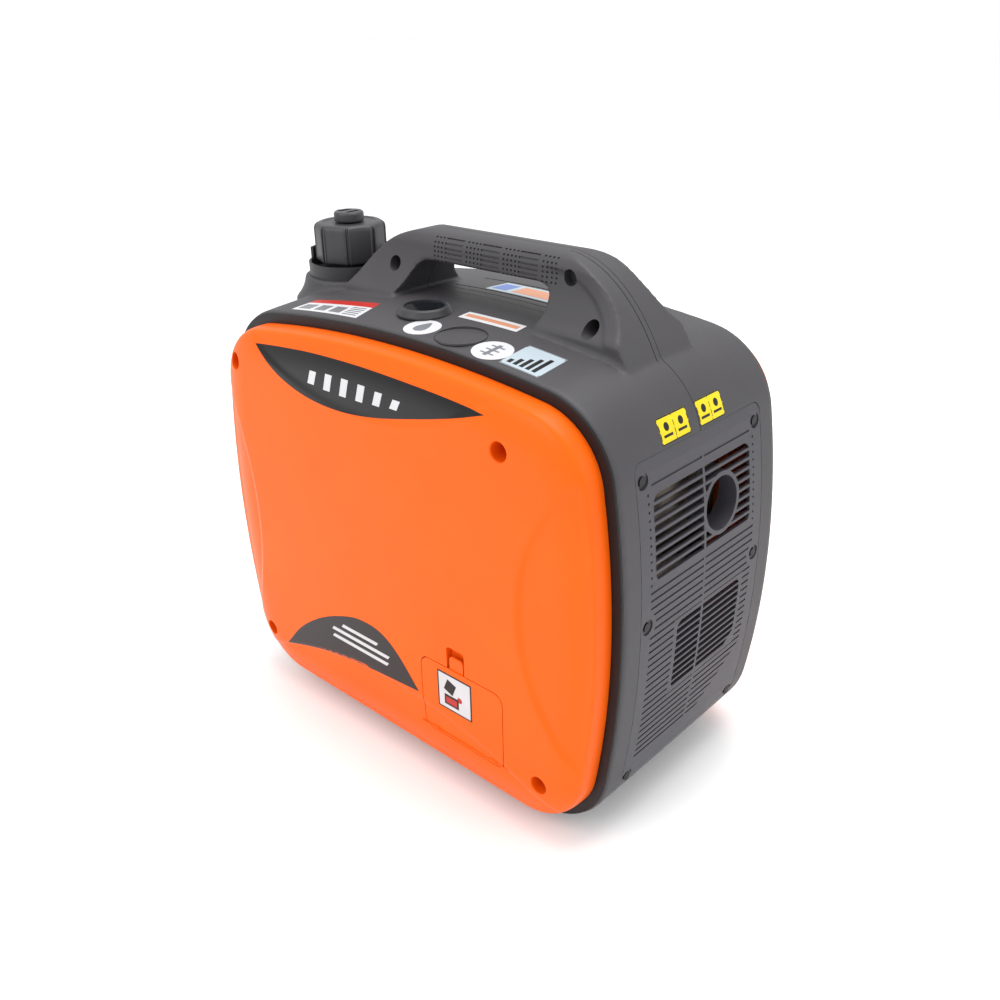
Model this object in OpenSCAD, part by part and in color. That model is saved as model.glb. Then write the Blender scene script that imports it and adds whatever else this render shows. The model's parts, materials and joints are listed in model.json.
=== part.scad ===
// Suitcase-style inverter generator: a two-half body shell with an integral carrying
// handle, bolt-on side covers, an exhaust grille at one end and a control panel at the other.
// X runs along the body towards the exhaust end, the front side cover faces -Y, Z is up.
// The origin is on the ground under the middle of the body.

/* [Body] */
// Length of the body at its widest level
body_l = 500; // [420:1:600]
// Height of the body shell at its shoulder, without feet and handle
body_h = 421; // [400:1:480]
// Width across the two shell halves, without the side covers
shell_w = 230; // [225:1:290]
// Wall of the moulded shell halves
wall = 3; // [2:0.1:3.6]
// How far the ends bow outwards over the body's height
end_bow = 27; // [10:1:34]
// How far the top bows upwards over the body's length
top_bow = 25; // [10:1:32]
// Height of the widest level above the underside
bow_level = 204; // [170:1:240]
// Radius of the two upper corners, seen from the side
top_corner_r = 78; // [60:1:100]
// Radius of the two lower corners, seen from the side
bottom_corner_r = 77; // [60:1:100]
// Extra height of the top along its middle line
crown = 6; // [2:0.5:9]
// Height of the rubber feet below the underside
foot_h = 9; // [6:1:14]
// Radius of a rubber foot
foot_r = 17; // [12:1:20]

/* [Side covers] */
// Depth of a side cover beyond the shell
cover_d = 30; // [24:1:36]
// Wall of a side cover
cover_wall = 2.8; // [2:0.1:3.4]
// Inset of the cover's rim from the shell's outline
cover_inset = 11; // [9:0.5:16]
// Width of the shell's flange behind a cover
flange_w = 18; // [14:1:24]
// Thickness of the seal between the cover and the shell
seal_t = 1.5; // [1:0.1:2]
// Radius of a cover's screw recess
cover_recess_r = 8.5; // [7:0.1:10]

/* [Handle] */
// Height of the handle above the shoulder
handle_h = 64; // [60:1:76]
// Width of the grip, front to back
grip_w = 48; // [40:1:52]
// Thickness of the grip, top to bottom
grip_t = 26; // [22:1:28]
// Width of the handle's legs at their feet
leg_w = 92; // [84:1:100]
// Radius of the handle's screw recesses
handle_recess_r = 7; // [6:0.1:8]

/* [Filler and gauge] */
// Distance of the filler from the body's middle
filler_x = 186; // [180:1:190]
// Outer radius of the fuel cap
cap_r = 36; // [32:0.5:37]
// Height of the fuel cap
cap_h = 37; // [32:1:38]
// Radius of the vent knob on the cap
knob_r = 15; // [12:0.5:17]
// Radius of the filler neck
neck_r = 22; // [18:0.5:24]
// Outer radius of the drip tray around the cap
tray_r = 44; // [42:0.5:46]
// Outer radius of the fuel gauge's ring
gauge_r = 25; // [22:0.5:27]
// Radius of the spark plug access cover
access_r = 22; // [19:0.5:23]

/* [End panels] */
// Half width of the exhaust grille and of the control panel
panel_half_w = 92; // [86:1:96]
// Gap around a panel that sits in the shell
panel_gap = 0.5; // [0.3:0.1:0.8]
// Radius of the exhaust hole in the grille
exhaust_r = 24; // [20:0.5:26]
// Pitch of the upper louvres
louvre_pitch = 8.4; // [7:0.1:10]
// Pitch of the lower louvres and of the grooves
groove_pitch = 7; // [6:0.1:9]
// Radius of a panel screw's recess
panel_recess_r = 7; // [6:0.1:8]

/* [Engine] */
// Height of the crankshaft above the underside
crank_z = 165; // [160:1:172]
// Radius of the crankshaft
crank_r = 8; // [6:0.5:10]
// Outer radius of the flywheel fan
fan_r = 76; // [66:1:78]
// Radius at which the starter rope winds
rope_wind_r = 42.6; // [38:0.1:44]
// Radius of the starter rope
rope_r = 2.5; // [2:0.1:3]

/* [Fits] */
// Radial clearance of a turning shaft
run_fit = 0.05; // [0.02:0.01:0.1]
// Clearance around a screw or another fixed insert
loose_fit = 0.1; // [0.05:0.05:0.2]
// Gap between two pieces that move past each other
move_gap = 0.6; // [0.4:0.1:1]

/* [Hidden] */
$fn = 48;
eps = 0.01;

// Stations along the crankshaft, from the crankcase towards the control panel
case_x0 = -48;
rotor_x1 = case_x0 - 12;
rotor_x0 = rotor_x1 - 48;
shroud_x0 = rotor_x0 - 12;
recoil_x0 = shroud_x0 - 30;
pulley_x = recoil_x0 + 14;

half_l = body_l / 2;
half_w = shell_w / 2;
full_half_w = half_w + cover_d;
bz = foot_h;
top_z = bz + body_h;

// Outline of the body seen from the side: big arcs over the top and the ends, tangent corner
// arcs between them and a flat underside.
top_r = (half_l * half_l + top_bow * top_bow) / (2 * top_bow);
end_r = (body_h * body_h / 4 + end_bow * end_bow) / (2 * end_bow);
top_c = [0, top_z - top_r];
end_c = [half_l - end_r, bz + bow_level];
low_c = [
    end_c[0] + sqrt(pow(end_r - bottom_corner_r, 2) - pow(bottom_corner_r - bow_level, 2)),
    bz + bottom_corner_r
];

// Right-hand meeting point of two circles
function meet(p, rp, q, rq) =
    let (
        v = q - p,
        d = norm(v),
        a = (rp * rp - rq * rq + d * d) / (2 * d),
        h = sqrt(rp * rp - a * a),
        u = v / d
    )
    p + a * u + h * [u[1], -u[0]];
function heading(v) = atan2(v[1], v[0]);
function arc(c, r, a0, a1, n) = [for (i = [1 : n]) let (a = a0 + (a1 - a0) * i / n) c + r * [cos(a), sin(a)]];
function mirrored(points) = [for (i = [len(points) - 1 : -1 : 0]) [-points[i][0], points[i][1]]];
function bez(a, b, c, d, n) = [
    for (i = [0 : n])
        let (t = i / n, s = 1 - t)
        s * s * s * a + 3 * s * s * t * b + 3 * s * t * t * c + t * t * t * d
];
// Right half of the outline, inset by d, with the top raised by up
function half_outline(d, up = 0) =
    let (
        high_c = meet(top_c, top_r + up - top_corner_r, end_c, end_r - top_corner_r),
        a_low = heading(low_c - end_c),
        a_high = heading(high_c - end_c),
        a_top = heading(high_c - top_c)
    )
    concat(
        [[low_c[0], bz + d]],
        arc(low_c, bottom_corner_r - d, -90, a_low, 7),
        arc(end_c, end_r - d, a_low, a_high, 10),
        arc(high_c, top_corner_r - d, a_high, a_top, 8),
        arc(top_c, top_r + up - d, a_top, 89.6, 6)
    );
function outline(d, up = 0) = let (right = half_outline(d, up)) concat(right, mirrored(right));
// Height of the shoulder line and of the crowned top surface
function shoulder_z(x) = top_c[1] + sqrt(top_r * top_r - x * x);
function surface_z(x, y) = shoulder_z(x) + crown * (1 - pow(y / half_w, 2));
// Distance of the bowed end from the middle at a height
function end_x(z) = end_c[0] + sqrt(end_r * end_r - pow(z - end_c[1], 2));

// Extrusions of a drawing: XZ along Y, YZ along X
module slab_y(y0, y1) {
    translate([0, y1, 0]) rotate([90, 0, 0]) linear_extrude(y1 - y0) children();
}
module slab_x(x0, x1) {
    translate([x0, 0, 0]) rotate([90, 0, 90]) linear_extrude(x1 - x0) children();
}
module box(low, high) {
    translate(low) cube(high - low);
}
module rod_x(y, z, r, x0, x1) {
    translate([x0, y, z]) rotate([0, 90, 0]) cylinder(r = r, h = x1 - x0);
}
module rod_y(x, z, r, y0, y1) {
    translate([x, y1, z]) rotate([90, 0, 0]) cylinder(r = r, h = y1 - y0);
}
module rod_z(x, y, r, z0, z1) {
    translate([x, y, z0]) cylinder(r = r, h = z1 - z0);
}
module round_rect(low, high, r) {
    translate(low + [r, 0]) square([high[0] - low[0] - 2 * r, high[1] - low[1]]);
    translate(low + [0, r]) square([high[0] - low[0], high[1] - low[1] - 2 * r]);
    for (x = [low[0] + r, high[0] - r], y = [low[1] + r, high[1] - r]) translate([x, y]) circle(r);
}
// A round tube or rod swept along points, with rings of a fixed number of sides
module sweep(points, r, up, sides = 10) {
    n = len(points);
    function tangent(i) = let (v = points[min(i + 1, n - 1)] - points[max(i - 1, 0)]) v / norm(v);
    function ring(i) =
        let (t = tangent(i), c = cross(t, up), u = c / norm(c), w = cross(u, t))
        [for (k = [0 : sides - 1]) points[i] + r * (cos(360 * k / sides) * u + sin(360 * k / sides) * w)];
    verts = [for (i = [0 : n - 1]) each ring(i)];
    sides_of = [
        for (i = [0 : n - 2], k = [0 : sides - 1])
            let (a = i * sides + k, b = i * sides + (k + 1) % sides)
            [a, b, b + sides, a + sides]
    ];
    ends = [
        [for (k = [sides - 1 : -1 : 0]) k],
        [for (k = [0 : sides - 1]) (n - 1) * sides + k]
    ];
    polyhedron(points = verts, faces = concat(sides_of, ends), convexity = 6);
}

// ---------------------------------------------------------------- body shell
// Everything above the crowned top, for a surface inset by d
module above_crown(d) {
    span = 30;
    steps = 8;
    reach = half_w + 2;
    translate([0, 0, top_c[1]]) rotate([90, 0, 0]) rotate([0, 0, 90 - span / 2])
        rotate_extrude(angle = span, $fn = 720)
            polygon(concat(
                [[top_r + crown + 30, -reach], [top_r + crown + 30, reach]],
                [for (i = [0 : steps]) let (y = reach - 2 * reach * i / steps)
                    [top_r - d + crown * (1 - pow(y / half_w, 2)), y]]
            ));
}
module body_form(d, y0, y1) {
    difference() {
        slab_y(y0, y1) polygon(outline(d, crown + 4));
        above_crown(d);
    }
}
// Lowest and highest y of one half, inset by d from the flange face
function half_low(side, d = 0) = side < 0 ? -half_w + d : 0;
function half_high(side, d = 0) = side < 0 ? 0 : half_w - d;

handle_top = top_z + handle_h;
grip_low = handle_top - grip_t;
handle_left = -150;
handle_right = 200;
handle_side = concat(
    [[handle_left, top_z - 30]],
    bez([handle_left, top_z - 6], [handle_left + 22, top_z + 41], [-92, handle_top], [-45, handle_top], 10),
    bez([100, handle_top], [140, handle_top - 1], [178, top_z + 29], [handle_right, top_z - 25], 10),
    [[handle_right, top_z - 40]]
);
// The hand hole, from inside the body up to the grip
hand_hole = concat(
    [[-84, top_z - 32]],
    bez([-70, top_z + 5], [-54, top_z + 18], [-48, grip_low], [-20, grip_low], 8),
    bez([80, grip_low], [97, grip_low], [101, grip_low - 11], [95, top_z + 3], 6),
    [[95, top_z - 32]]
);
handle_front = concat(
    [[0, top_z - 40], [leg_w / 2, top_z - 40], [leg_w / 2, top_z + 4]],
    bez([leg_w / 2 - 1, top_z + 7], [grip_w / 2 + 10, top_z + 14], [grip_w / 2 + 2, grip_low - 10],
        [grip_w / 2, grip_low + 8], 6),
    bez([grip_w / 2, grip_low + 14], [grip_w / 2 - 1, handle_top - 4], [grip_w / 2 - 8, handle_top],
        [0, handle_top], 6)
);
handle_screw_at = [[-89, top_z + 30], [118, top_z + 46], [151, top_z + 12]];
handle_screw_seat = 14;
handle_screw_reach = 13;
module handle_half(side) {
    intersection() {
        slab_y(half_low(side), half_high(side)) difference() {
            polygon(handle_side);
            polygon(hand_hole);
        }
        slab_x(handle_left, handle_right)
            mirror([side < 0 ? 1 : 0, 0]) polygon(handle_front);
    }
}

tower_base = top_z - 20;
tower_foot = top_z - 80;
tower_flare = 16;
tower_wall = 4.5;
tower_seat = top_z + 3;
tray_top = top_z + 27;
module tower() {
    intersection() {
        translate([-filler_x, 0, 0]) rotate_extrude($fn = 96)
            polygon(concat(
                [[0, tower_foot], [tray_r + tower_flare, tower_foot]],
                bez([tray_r + tower_flare, tower_base], [tray_r + 9, tower_base + 6],
                    [tray_r + tower_wall + 1, tower_seat - 8], [tray_r + tower_wall, tower_seat], 6),
                [[0, tower_seat]]
            ));
        box([-filler_x - tray_r - tower_wall + 0.5, -100, tower_foot - 1], [0, 100, tray_top]);
    }
}

// Panel windows in the ends, drawn in YZ
grille_low = bz + 30;
grille_high = bz + 356;
control_low = bz + 62;
control_high = bz + 350;
module grille_window(gap = 0) {
    round_rect([-panel_half_w - gap, grille_low - gap], [panel_half_w + gap, grille_high + gap], 9);
}
module control_window(gap = 0) {
    round_rect([-panel_half_w - gap, control_low - gap], [panel_half_w + gap, control_high + gap], 12);
}
lip_w = 20;
// Tunnel behind the control panel's opening, with the ledge that the panel is screwed to
module control_seat() {
    slab_x(-half_l, control_x + control_t + wall) difference() {
        control_window(panel_gap + wall);
        control_window(panel_gap);
    }
    slab_x(control_x + control_t, control_x + control_t + wall) difference() {
        control_window(panel_gap + 1);
        control_window(-ledge_w);
    }
}
ledge_w = 16;
module end_lip(x0, x1) {
    intersection() {
        slab_y(-half_w + wall, half_w - wall) difference() {
            polygon(outline(wall));
            polygon(outline(2 * wall));
        }
        slab_x(x0, x1) children();
    }
}

gauge_at = [-12, -65];
access_at = [57, -half_w + access_r + 3];
gauge_tube_r = gauge_r - 5;
gauge_z = surface_z(gauge_at[0], gauge_at[1]) - 0.6;
access_z = surface_z(access_at[0], access_at[1]);
access_seat = 1.6;
cover_screw_at = [[-204, bz + 360], [146, bz + 360], [186, bz + 55], [-199, bz + 55]];
grille_screw_at = [
    for (z = [bz + 341, bz + 215, bz + 55], y = [-1, 1]) [y * (panel_half_w - 9), z]
];
panel_screw_at = [for (z = [control_low + 14, control_high - 14], y = [-1, 1]) [y * (panel_half_w - 10), z]];
screw_r = 2;
foot_x = low_c[0] - foot_r;
foot_y = 78;
foot_at = [for (x = [-foot_x, foot_x], y = [-foot_y, foot_y]) [x, y]];
foot_stem_r = screw_r + 1;

module shell_half(side) {
    y0 = half_low(side);
    y1 = half_high(side);
    flange0 = side < 0 ? y0 - 1 : y1 - wall - 1;
    flange1 = side < 0 ? y0 + wall + 1 : y1 + 1;
    difference() {
        union() {
            body_form(0, y0, y1);
            handle_half(side);
            intersection() {
                tower();
                box([-half_l, y0, 0], [0, y1, tray_top]);
            }
        }
        // hollow inside, leaving a lip behind the grille
        difference() {
            body_form(wall, side < 0 ? y0 + wall : -1, side < 0 ? 1 : y1 - wall);
            end_lip(0, half_l) grille_window(lip_w / 4);
            control_seat();
        }
        // openings in the flange and in the two ends
        slab_y(flange0, flange1) polygon(outline(flange_w));
        intersection() {
            slab_x(half_l - end_bow - 5, half_l + 1) grille_window(panel_gap);
            slab_y(-half_w, half_w) difference() {
                polygon(outline(-1));
                polygon(outline(wall));
            }
        }
        slab_x(half_l - end_bow - 20, half_l) grille_window(-lip_w + 2);
        slab_x(-half_l - 1, control_x + control_t) control_window(panel_gap);
        slab_x(control_x, control_x + 30) control_window(-ledge_w);
        for (p = panel_screw_at) rod_x(p[0], p[1], screw_r + loose_fit, control_x, control_x + 30);
        // filler, gauge and access openings
        rod_z(-filler_x, 0, tray_r + panel_gap, tower_seat, top_z + 60);
        rod_z(-filler_x, 0, neck_r + 3, tower_base - 40, top_z + 60);
        rod_z(gauge_at[0], gauge_at[1], gauge_tube_r + panel_gap, top_z - 20, top_z + 20);
        rod_z(gauge_at[0], gauge_at[1], gauge_r + loose_fit, gauge_z, top_z + 20);
        rod_z(access_at[0], access_at[1], access_r - 4, top_z - 20, top_z + 20);
        rod_z(access_at[0], access_at[1], access_r + panel_gap, access_z - access_seat, top_z + 20);
        // screw holes of the handle, feet, covers and grille
        for (p = handle_screw_at) {
            if (side < 0) rod_y(p[0], p[1], handle_recess_r, -leg_w, -handle_screw_seat);
            rod_y(p[0], p[1], screw_r + loose_fit, -leg_w, handle_screw_reach);
        }
        for (p = foot_at) rod_z(p[0], p[1], foot_stem_r + loose_fit, 0, bz + wall + 1);
        for (p = cover_screw_at) rod_y(p[0], p[1], screw_r + loose_fit, flange0, flange1);
        for (p = grille_screw_at) rod_x(p[0], p[1], screw_r + loose_fit, half_l - 50, half_l);
    }
}
module body_shell_front() {
    color("#4b494c") shell_half(-1);
}
module body_shell_rear() {
    color("#4b494c") shell_half(1);
}

// ---------------------------------------------------------------- side covers
cover_y = half_w + seal_t;
cover_face = full_half_w;
// Inset of the cover's outer surface at its depth, from the rim to the face
cover_steps = [
    [cover_y, cover_inset], [cover_face - 14, cover_inset + 1], [cover_face - 8, cover_inset + 3.5],
    [cover_face - 3, cover_inset + 9], [cover_face - 0.8, cover_inset + 16], [cover_face, cover_inset + 26]
];
module cover_form(extra, back, side) {
    hull() for (s = cover_steps) {
        y = min(s[0], cover_face) - back;
        if (y > cover_y - back - eps)
            slab_y(side * y - (side < 0 ? 0 : eps), side * y + (side < 0 ? eps : 0))
                polygon(outline(s[1] + extra));
    }
}
cover_boss_r = cover_recess_r + 2;
cover_seat_y = cover_y + 5;
module cover_shell(side) {
    difference() {
        cover_form(0, 0, side);
        difference() {
            cover_form(cover_wall, cover_wall, side);
            for (p = cover_screw_at)
                rod_y(p[0], p[1], cover_boss_r, min(side * (cover_y - 9), side * cover_face),
                    max(side * (cover_y - 9), side * cover_face));
        }
        slab_y(min(side * (cover_y - 10), side * cover_y), max(side * (cover_y - 10), side * cover_y))
            polygon(outline(0));
        for (p = cover_screw_at) {
            rod_y(p[0], p[1], cover_recess_r, min(side * cover_seat_y, side * (cover_face + 1)),
                max(side * cover_seat_y, side * (cover_face + 1)));
            rod_y(p[0], p[1], screw_r + loose_fit, min(0, side * cover_face), max(0, side * cover_face));
        }
    }
}

// Oil door in the front cover
door_x0 = 44;
door_x1 = 145;
door_z0 = bz + 48;
door_z1 = bz + 129;
door_r = 10;
door_pin_r = 2.2;
door_stub_r = 1.2;
door_stub = 5;
door_barrel_end = 1.6;
door_axis_y = -cover_face + door_pin_r + 0.4;
door_axis_z = door_z0 + door_pin_r + 0.2;
// what the door's lower edge sweeps as it swings
door_sweep_r = norm([door_axis_y + cover_face, door_axis_z - door_z0]) + 0.3;
notch_x = 88;
notch_w = 18;
module door_outline(gap) {
    round_rect([door_x0 - gap, door_z0 - gap], [door_x1 + gap, door_z1 + gap], door_r);
}
module side_cover_front() {
    color("#f26a1b") difference() {
        cover_shell(-1);
        slab_y(-cover_face - 1, -cover_face + cover_wall + 2) door_outline(move_gap);
        rod_x(door_axis_y, door_axis_z, door_sweep_r, door_x0 + 0.6, door_x1 - 0.6);
        rod_x(door_axis_y, door_axis_z, door_stub_r + loose_fit, door_x0 - door_stub - 1,
            door_x1 + door_stub + 1);
        box([notch_x - notch_w / 2, -cover_face - 1, door_z1 - 1],
            [notch_x + notch_w / 2, -cover_face + 8, door_z1 + 17]);
    }
}
module oil_door() {
    color("#f26a1b") {
        intersection() {
            cover_shell(-1);
            slab_y(-cover_face - 1, -cover_face + cover_wall) door_outline(0);
        }
        rod_x(door_axis_y, door_axis_z, door_pin_r, door_x0 + door_barrel_end, door_x1 - door_barrel_end);
        rod_x(door_axis_y, door_axis_z, door_stub_r, door_x0 - door_stub, door_x1 + door_stub);
    }
}

// Recess for the starter grip in the rear cover
grip_x = pulley_x;
grip_z = bz + crank_z + rope_wind_r;
grip_l = 96;
grip_h = 26;
bezel_wall = 3;
bezel_l = grip_l + 18;
bezel_h = grip_h + 20;
bezel_y = half_w + 3;
module bezel_area(gap) {
    round_rect([grip_x - bezel_l / 2 - gap, grip_z - bezel_h / 2 - gap],
        [grip_x + bezel_l / 2 + gap, grip_z + bezel_h / 2 + gap], 8);
}
module side_cover_rear() {
    color("#f26a1b") difference() {
        cover_shell(1);
        slab_y(cover_face - 12, cover_face + 1) bezel_area(loose_fit);
    }
}
module cover_seals() {
    color("#1d1c1d") for (side = [-1, 1]) difference() {
        slab_y(min(side * half_w, side * cover_y), max(side * half_w, side * cover_y)) difference() {
            polygon(outline(cover_inset + 0.5));
            polygon(outline(flange_w));
        }
        for (p = cover_screw_at)
            rod_y(p[0], p[1], screw_r + loose_fit, -cover_face, cover_face);
    }
}
screw_head_r = 4.2;
screw_head_h = 3;
module screw_y(x, z, seat, length, side) {
    rod_y(x, z, screw_head_r, min(side * seat, side * (seat + screw_head_h)),
        max(side * seat, side * (seat + screw_head_h)));
    rod_y(x, z, screw_r, min(side * seat, side * (seat - length)), max(side * seat, side * (seat - length)));
}
module cover_screws() {
    color("#2a2a2c") for (side = [-1, 1], p = cover_screw_at)
        screw_y(p[0], p[1], cover_seat_y, cover_seat_y - half_w + wall + 3, side);
}
module handle_screws() {
    color("#2a2a2c") for (p = handle_screw_at)
        screw_y(p[0], p[1], handle_screw_seat, handle_screw_seat + handle_screw_reach - 2, -1);
}

// ---------------------------------------------------------------- end panels
upper_window = [[-72, bz + 251], [72, bz + 326]];
lower_window = [[-38, bz + 129], [62, bz + 198]];
exhaust_at = [26, bz + 285];
exhaust_rim = 4;
slat = 2.6;
fine_slat = 2.2;
groove_depth = 1;
module grille_wall(d0, d1) {
    slab_y(-panel_half_w - 1, panel_half_w + 1) difference() {
        polygon(outline(d0));
        polygon(outline(d1));
    }
}
// Horizontal slots over a height, in rows of a pitch with bars between
module slot_rows(z0, z1, pitch, bar) {
    count = floor((z1 - z0) / pitch);
    for (i = [0 : count]) box([half_l - end_bow - 10, -panel_half_w, z1 - (i + 1) * pitch + bar],
        [half_l + 1, panel_half_w, z1 - i * pitch]);
}
module louvre_cut(window, pitch, bar, r, cut) {
    difference() {
        intersection() {
            slot_rows(window[0][1] - 2, window[1][1], pitch, bar);
            slab_x(half_l - end_bow - 10, half_l + 1) difference() {
                round_rect(window[0], window[1], r);
                for (c = cut) translate(c) rotate(40) square(34, center = true);
            }
        }
        box([half_l - end_bow - 11, -1.5, 0], [half_l + 2, 1.5, top_z]);
        rod_x(exhaust_at[0], exhaust_at[1], exhaust_r + exhaust_rim, half_l - 50, half_l + 1);
    }
}
groove_half_w = panel_half_w - 13;
module groove_area() {
    difference() {
        translate([-groove_half_w, bz + 74]) square([2 * groove_half_w, 262]);
        for (w = [upper_window, lower_window]) translate(w[0] - [5, 4]) square(w[1] - w[0] + [10, 8]);
        for (p = grille_screw_at) translate(p) circle(panel_recess_r + 5);
        translate([-1.5, 0]) square([3, top_z]);
        polygon([[groove_half_w + 1, bz + 60], [groove_half_w + 1, bz + 120], [0, bz + 60]]);
    }
}
module exhaust_grille() {
    color("#5f5c64") difference() {
        union() {
            intersection() {
                grille_wall(0, wall);
                slab_x(0, half_l) grille_window();
            }
            intersection() {
                slab_y(-half_w, half_w) polygon(outline(0.4));
                rod_x(exhaust_at[0], exhaust_at[1], exhaust_r + exhaust_rim, half_l - 22, half_l + 1);
            }
        }
        rod_x(exhaust_at[0], exhaust_at[1], exhaust_r, half_l - 40, half_l + 1);
        louvre_cut(upper_window, louvre_pitch, slat, 9, []);
        louvre_cut(lower_window, groove_pitch, fine_slat, 7, [[72, bz + 127]]);
        intersection() {
            grille_wall(-1, groove_depth);
            slot_rows(bz + 74, bz + 336, groove_pitch, groove_pitch - 2);
            slab_x(0, half_l + 1) groove_area();
        }
        for (p = grille_screw_at) {
            x = end_x(p[1]);
            rod_x(p[0], p[1], screw_r + loose_fit, half_l - 50, half_l + 1);
            rod_x(p[0], p[1], panel_recess_r, x - panel_seat, half_l + 1);
        }
    }
}
panel_seat = 1.4;
module grille_screws() {
    color("#2a2a2c") for (p = grille_screw_at) {
        x = end_x(p[1]) - panel_seat - 0.1;
        rod_x(p[0], p[1], screw_head_r, x + 0.2, x + 1.4);
        rod_x(p[0], p[1], screw_r, x - 2 * wall - 2, x + 0.2);
    }
}

control_x = -half_l + 18;
control_t = 3.5;
switch_at = [-44, bz + 292];
switch_r = 21;
lamp_at = [for (y = [14, 34, 54]) [y, bz + 306]];
eco_at = [34, bz + 268];
socket_at = [[-42, bz + 190], [42, bz + 190]];
socket_r = 25;
breaker_at = [0, bz + 238];
port_at = [[-48, bz + 112], [-8, bz + 112]];
jack_at = [[26, bz + 112], [50, bz + 112]];
ground_at = [66, bz + 84];
lamp_r = 3.5;
eco_size = [15, 22];
breaker_r = 5;
port_r = 12;
jack_r = 5;
ground_r = 4;
module control_panel() {
    color("#3a383b") difference() {
        union() {
            slab_x(control_x, control_x + control_t) control_window();
            intersection() {
                slab_y(-half_w, half_w) polygon(outline(0.5));
                slab_x(-half_l - 1, control_x + 1) difference() {
                    control_window();
                    control_window(-wall);
                }
            }
        }
        rod_x(switch_at[0], switch_at[1], 6 + loose_fit, control_x - 1, control_x + control_t + 1);
        for (p = lamp_at) rod_x(p[0], p[1], lamp_r + loose_fit, control_x - 1, control_x + control_t + 1);
        box([control_x - 1, eco_at[0] - eco_size[0] / 2 - move_gap, eco_at[1] - eco_size[1] / 2 - move_gap],
            [control_x + control_t + 1, eco_at[0] + eco_size[0] / 2 + move_gap,
                eco_at[1] + eco_size[1] / 2 + move_gap]);
        for (p = socket_at) rod_x(p[0], p[1], socket_r + loose_fit, control_x - 1, control_x + control_t + 1);
        rod_x(breaker_at[0], breaker_at[1], breaker_r + run_fit, control_x - 1, control_x + control_t + 1);
        for (p = port_at) rod_x(p[0], p[1], port_r + loose_fit, control_x - 1, control_x + control_t + 1);
        for (p = jack_at) rod_x(p[0], p[1], jack_r + loose_fit, control_x - 1, control_x + control_t + 1);
        rod_x(ground_at[0], ground_at[1], ground_r + loose_fit, control_x - 1, control_x + control_t + 1);
        for (p = panel_screw_at)
            rod_x(p[0], p[1], screw_r + loose_fit, control_x - 1, control_x + control_t + 1);
    }
}
module panel_screws() {
    color("#2a2a2c") for (p = panel_screw_at) {
        rod_x(p[0], p[1], screw_head_r, control_x - 2.4, control_x);
        rod_x(p[0], p[1], screw_r, control_x - eps, control_x + 12);
    }
}
socket_face = control_x - 5;
module ac_sockets() {
    color("#222124") for (p = socket_at) difference() {
        union() {
            rod_x(p[0], p[1], socket_r, socket_face, control_x + 34);
            rod_x(p[0], p[1], socket_r + 3, socket_face + 1.5, control_x);
            for (s = [-1, 1]) box([socket_face - 1.4, p[0] + s * 17 - 3, p[1] + socket_r - 1],
                [socket_face + 2, p[0] + s * 17 + 3, p[1] + socket_r + 6.5]);
        }
        rod_x(p[0], p[1], socket_r - 4.5, socket_face - 1, control_x + 13);
        for (s = [-1, 1]) rod_x(p[0] + s * 9.5, p[1], 2.5, control_x, control_x + 30);
        lid_axle(p, lid_pin_r + run_fit, 21);
    }
}
lid_pin_r = 1;
lid_axis_x = socket_face;
lid_rise = socket_r + 4.5;
module lid_axle(p, r, reach) {
    rod_y(lid_axis_x, p[1] + lid_rise, r, p[0] - reach, p[0] + reach);
}
lid_t = 2.2;
module socket_lid(p) {
    color("#2d2b2e") {
        difference() {
            union() {
                rod_x(p[0], p[1], socket_r + 1.5, socket_face - lid_t - 0.4, socket_face - 0.4);
                box([socket_face - lid_t - 0.4, p[0] - 13, p[1]],
                    [socket_face - 0.4, p[0] + 13, p[1] + lid_rise - 1]);
                rod_y(lid_axis_x - 0.4, p[1] + lid_rise, 2.2, p[0] - 13, p[0] + 13);
            }
            box([socket_face - 0.35, p[0] - 40, p[1] - 40],
                [socket_face + 3, p[0] + 40, p[1] + lid_rise - 3]);
        }
        lid_axle(p, lid_pin_r, 20.5);
    }
}
module socket_lid_front() {
    socket_lid(socket_at[0]);
}
module socket_lid_rear() {
    socket_lid(socket_at[1]);
}
module low_voltage_ports() {
    color("#232226") {
        for (p = port_at) difference() {
            union() {
                rod_x(p[0], p[1], port_r, control_x - 3, control_x + 18);
                rod_x(p[0], p[1], port_r + 2, control_x - 1.5, control_x);
            }
            box([control_x - 4, p[0] - 8, p[1] - 4], [control_x + 9, p[0] + 8, p[1] + 4]);
        }
        for (p = jack_at) difference() {
            union() {
                rod_x(p[0], p[1], jack_r, control_x - 3, control_x + 18);
                rod_x(p[0], p[1], jack_r + 2, control_x - 1.5, control_x);
            }
            rod_x(p[0], p[1], 2.5, control_x - 4, control_x + 12);
        }
    }
    color("#7bbf6a") for (p = lamp_at) rod_x(p[0], p[1], lamp_r, control_x - 1, control_x + 6);
}
module engine_switch() {
    color("#d2521d") {
        difference() {
            rod_x(switch_at[0], switch_at[1], switch_r, control_x - 12, control_x - 0.4);
            for (s = [-1, 1])
                box([control_x - 13, switch_at[0] + (s < 0 ? -switch_r - 1 : 6), switch_at[1] - switch_r - 1],
                [control_x - 5, switch_at[0] + (s < 0 ? -6 : switch_r + 1), switch_at[1] + switch_r + 1]);
        }
        rod_x(switch_at[0], switch_at[1], 6 - run_fit, control_x - 0.5, control_x + 16);
    }
}
eco_pivot = control_x + 1.5;
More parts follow.
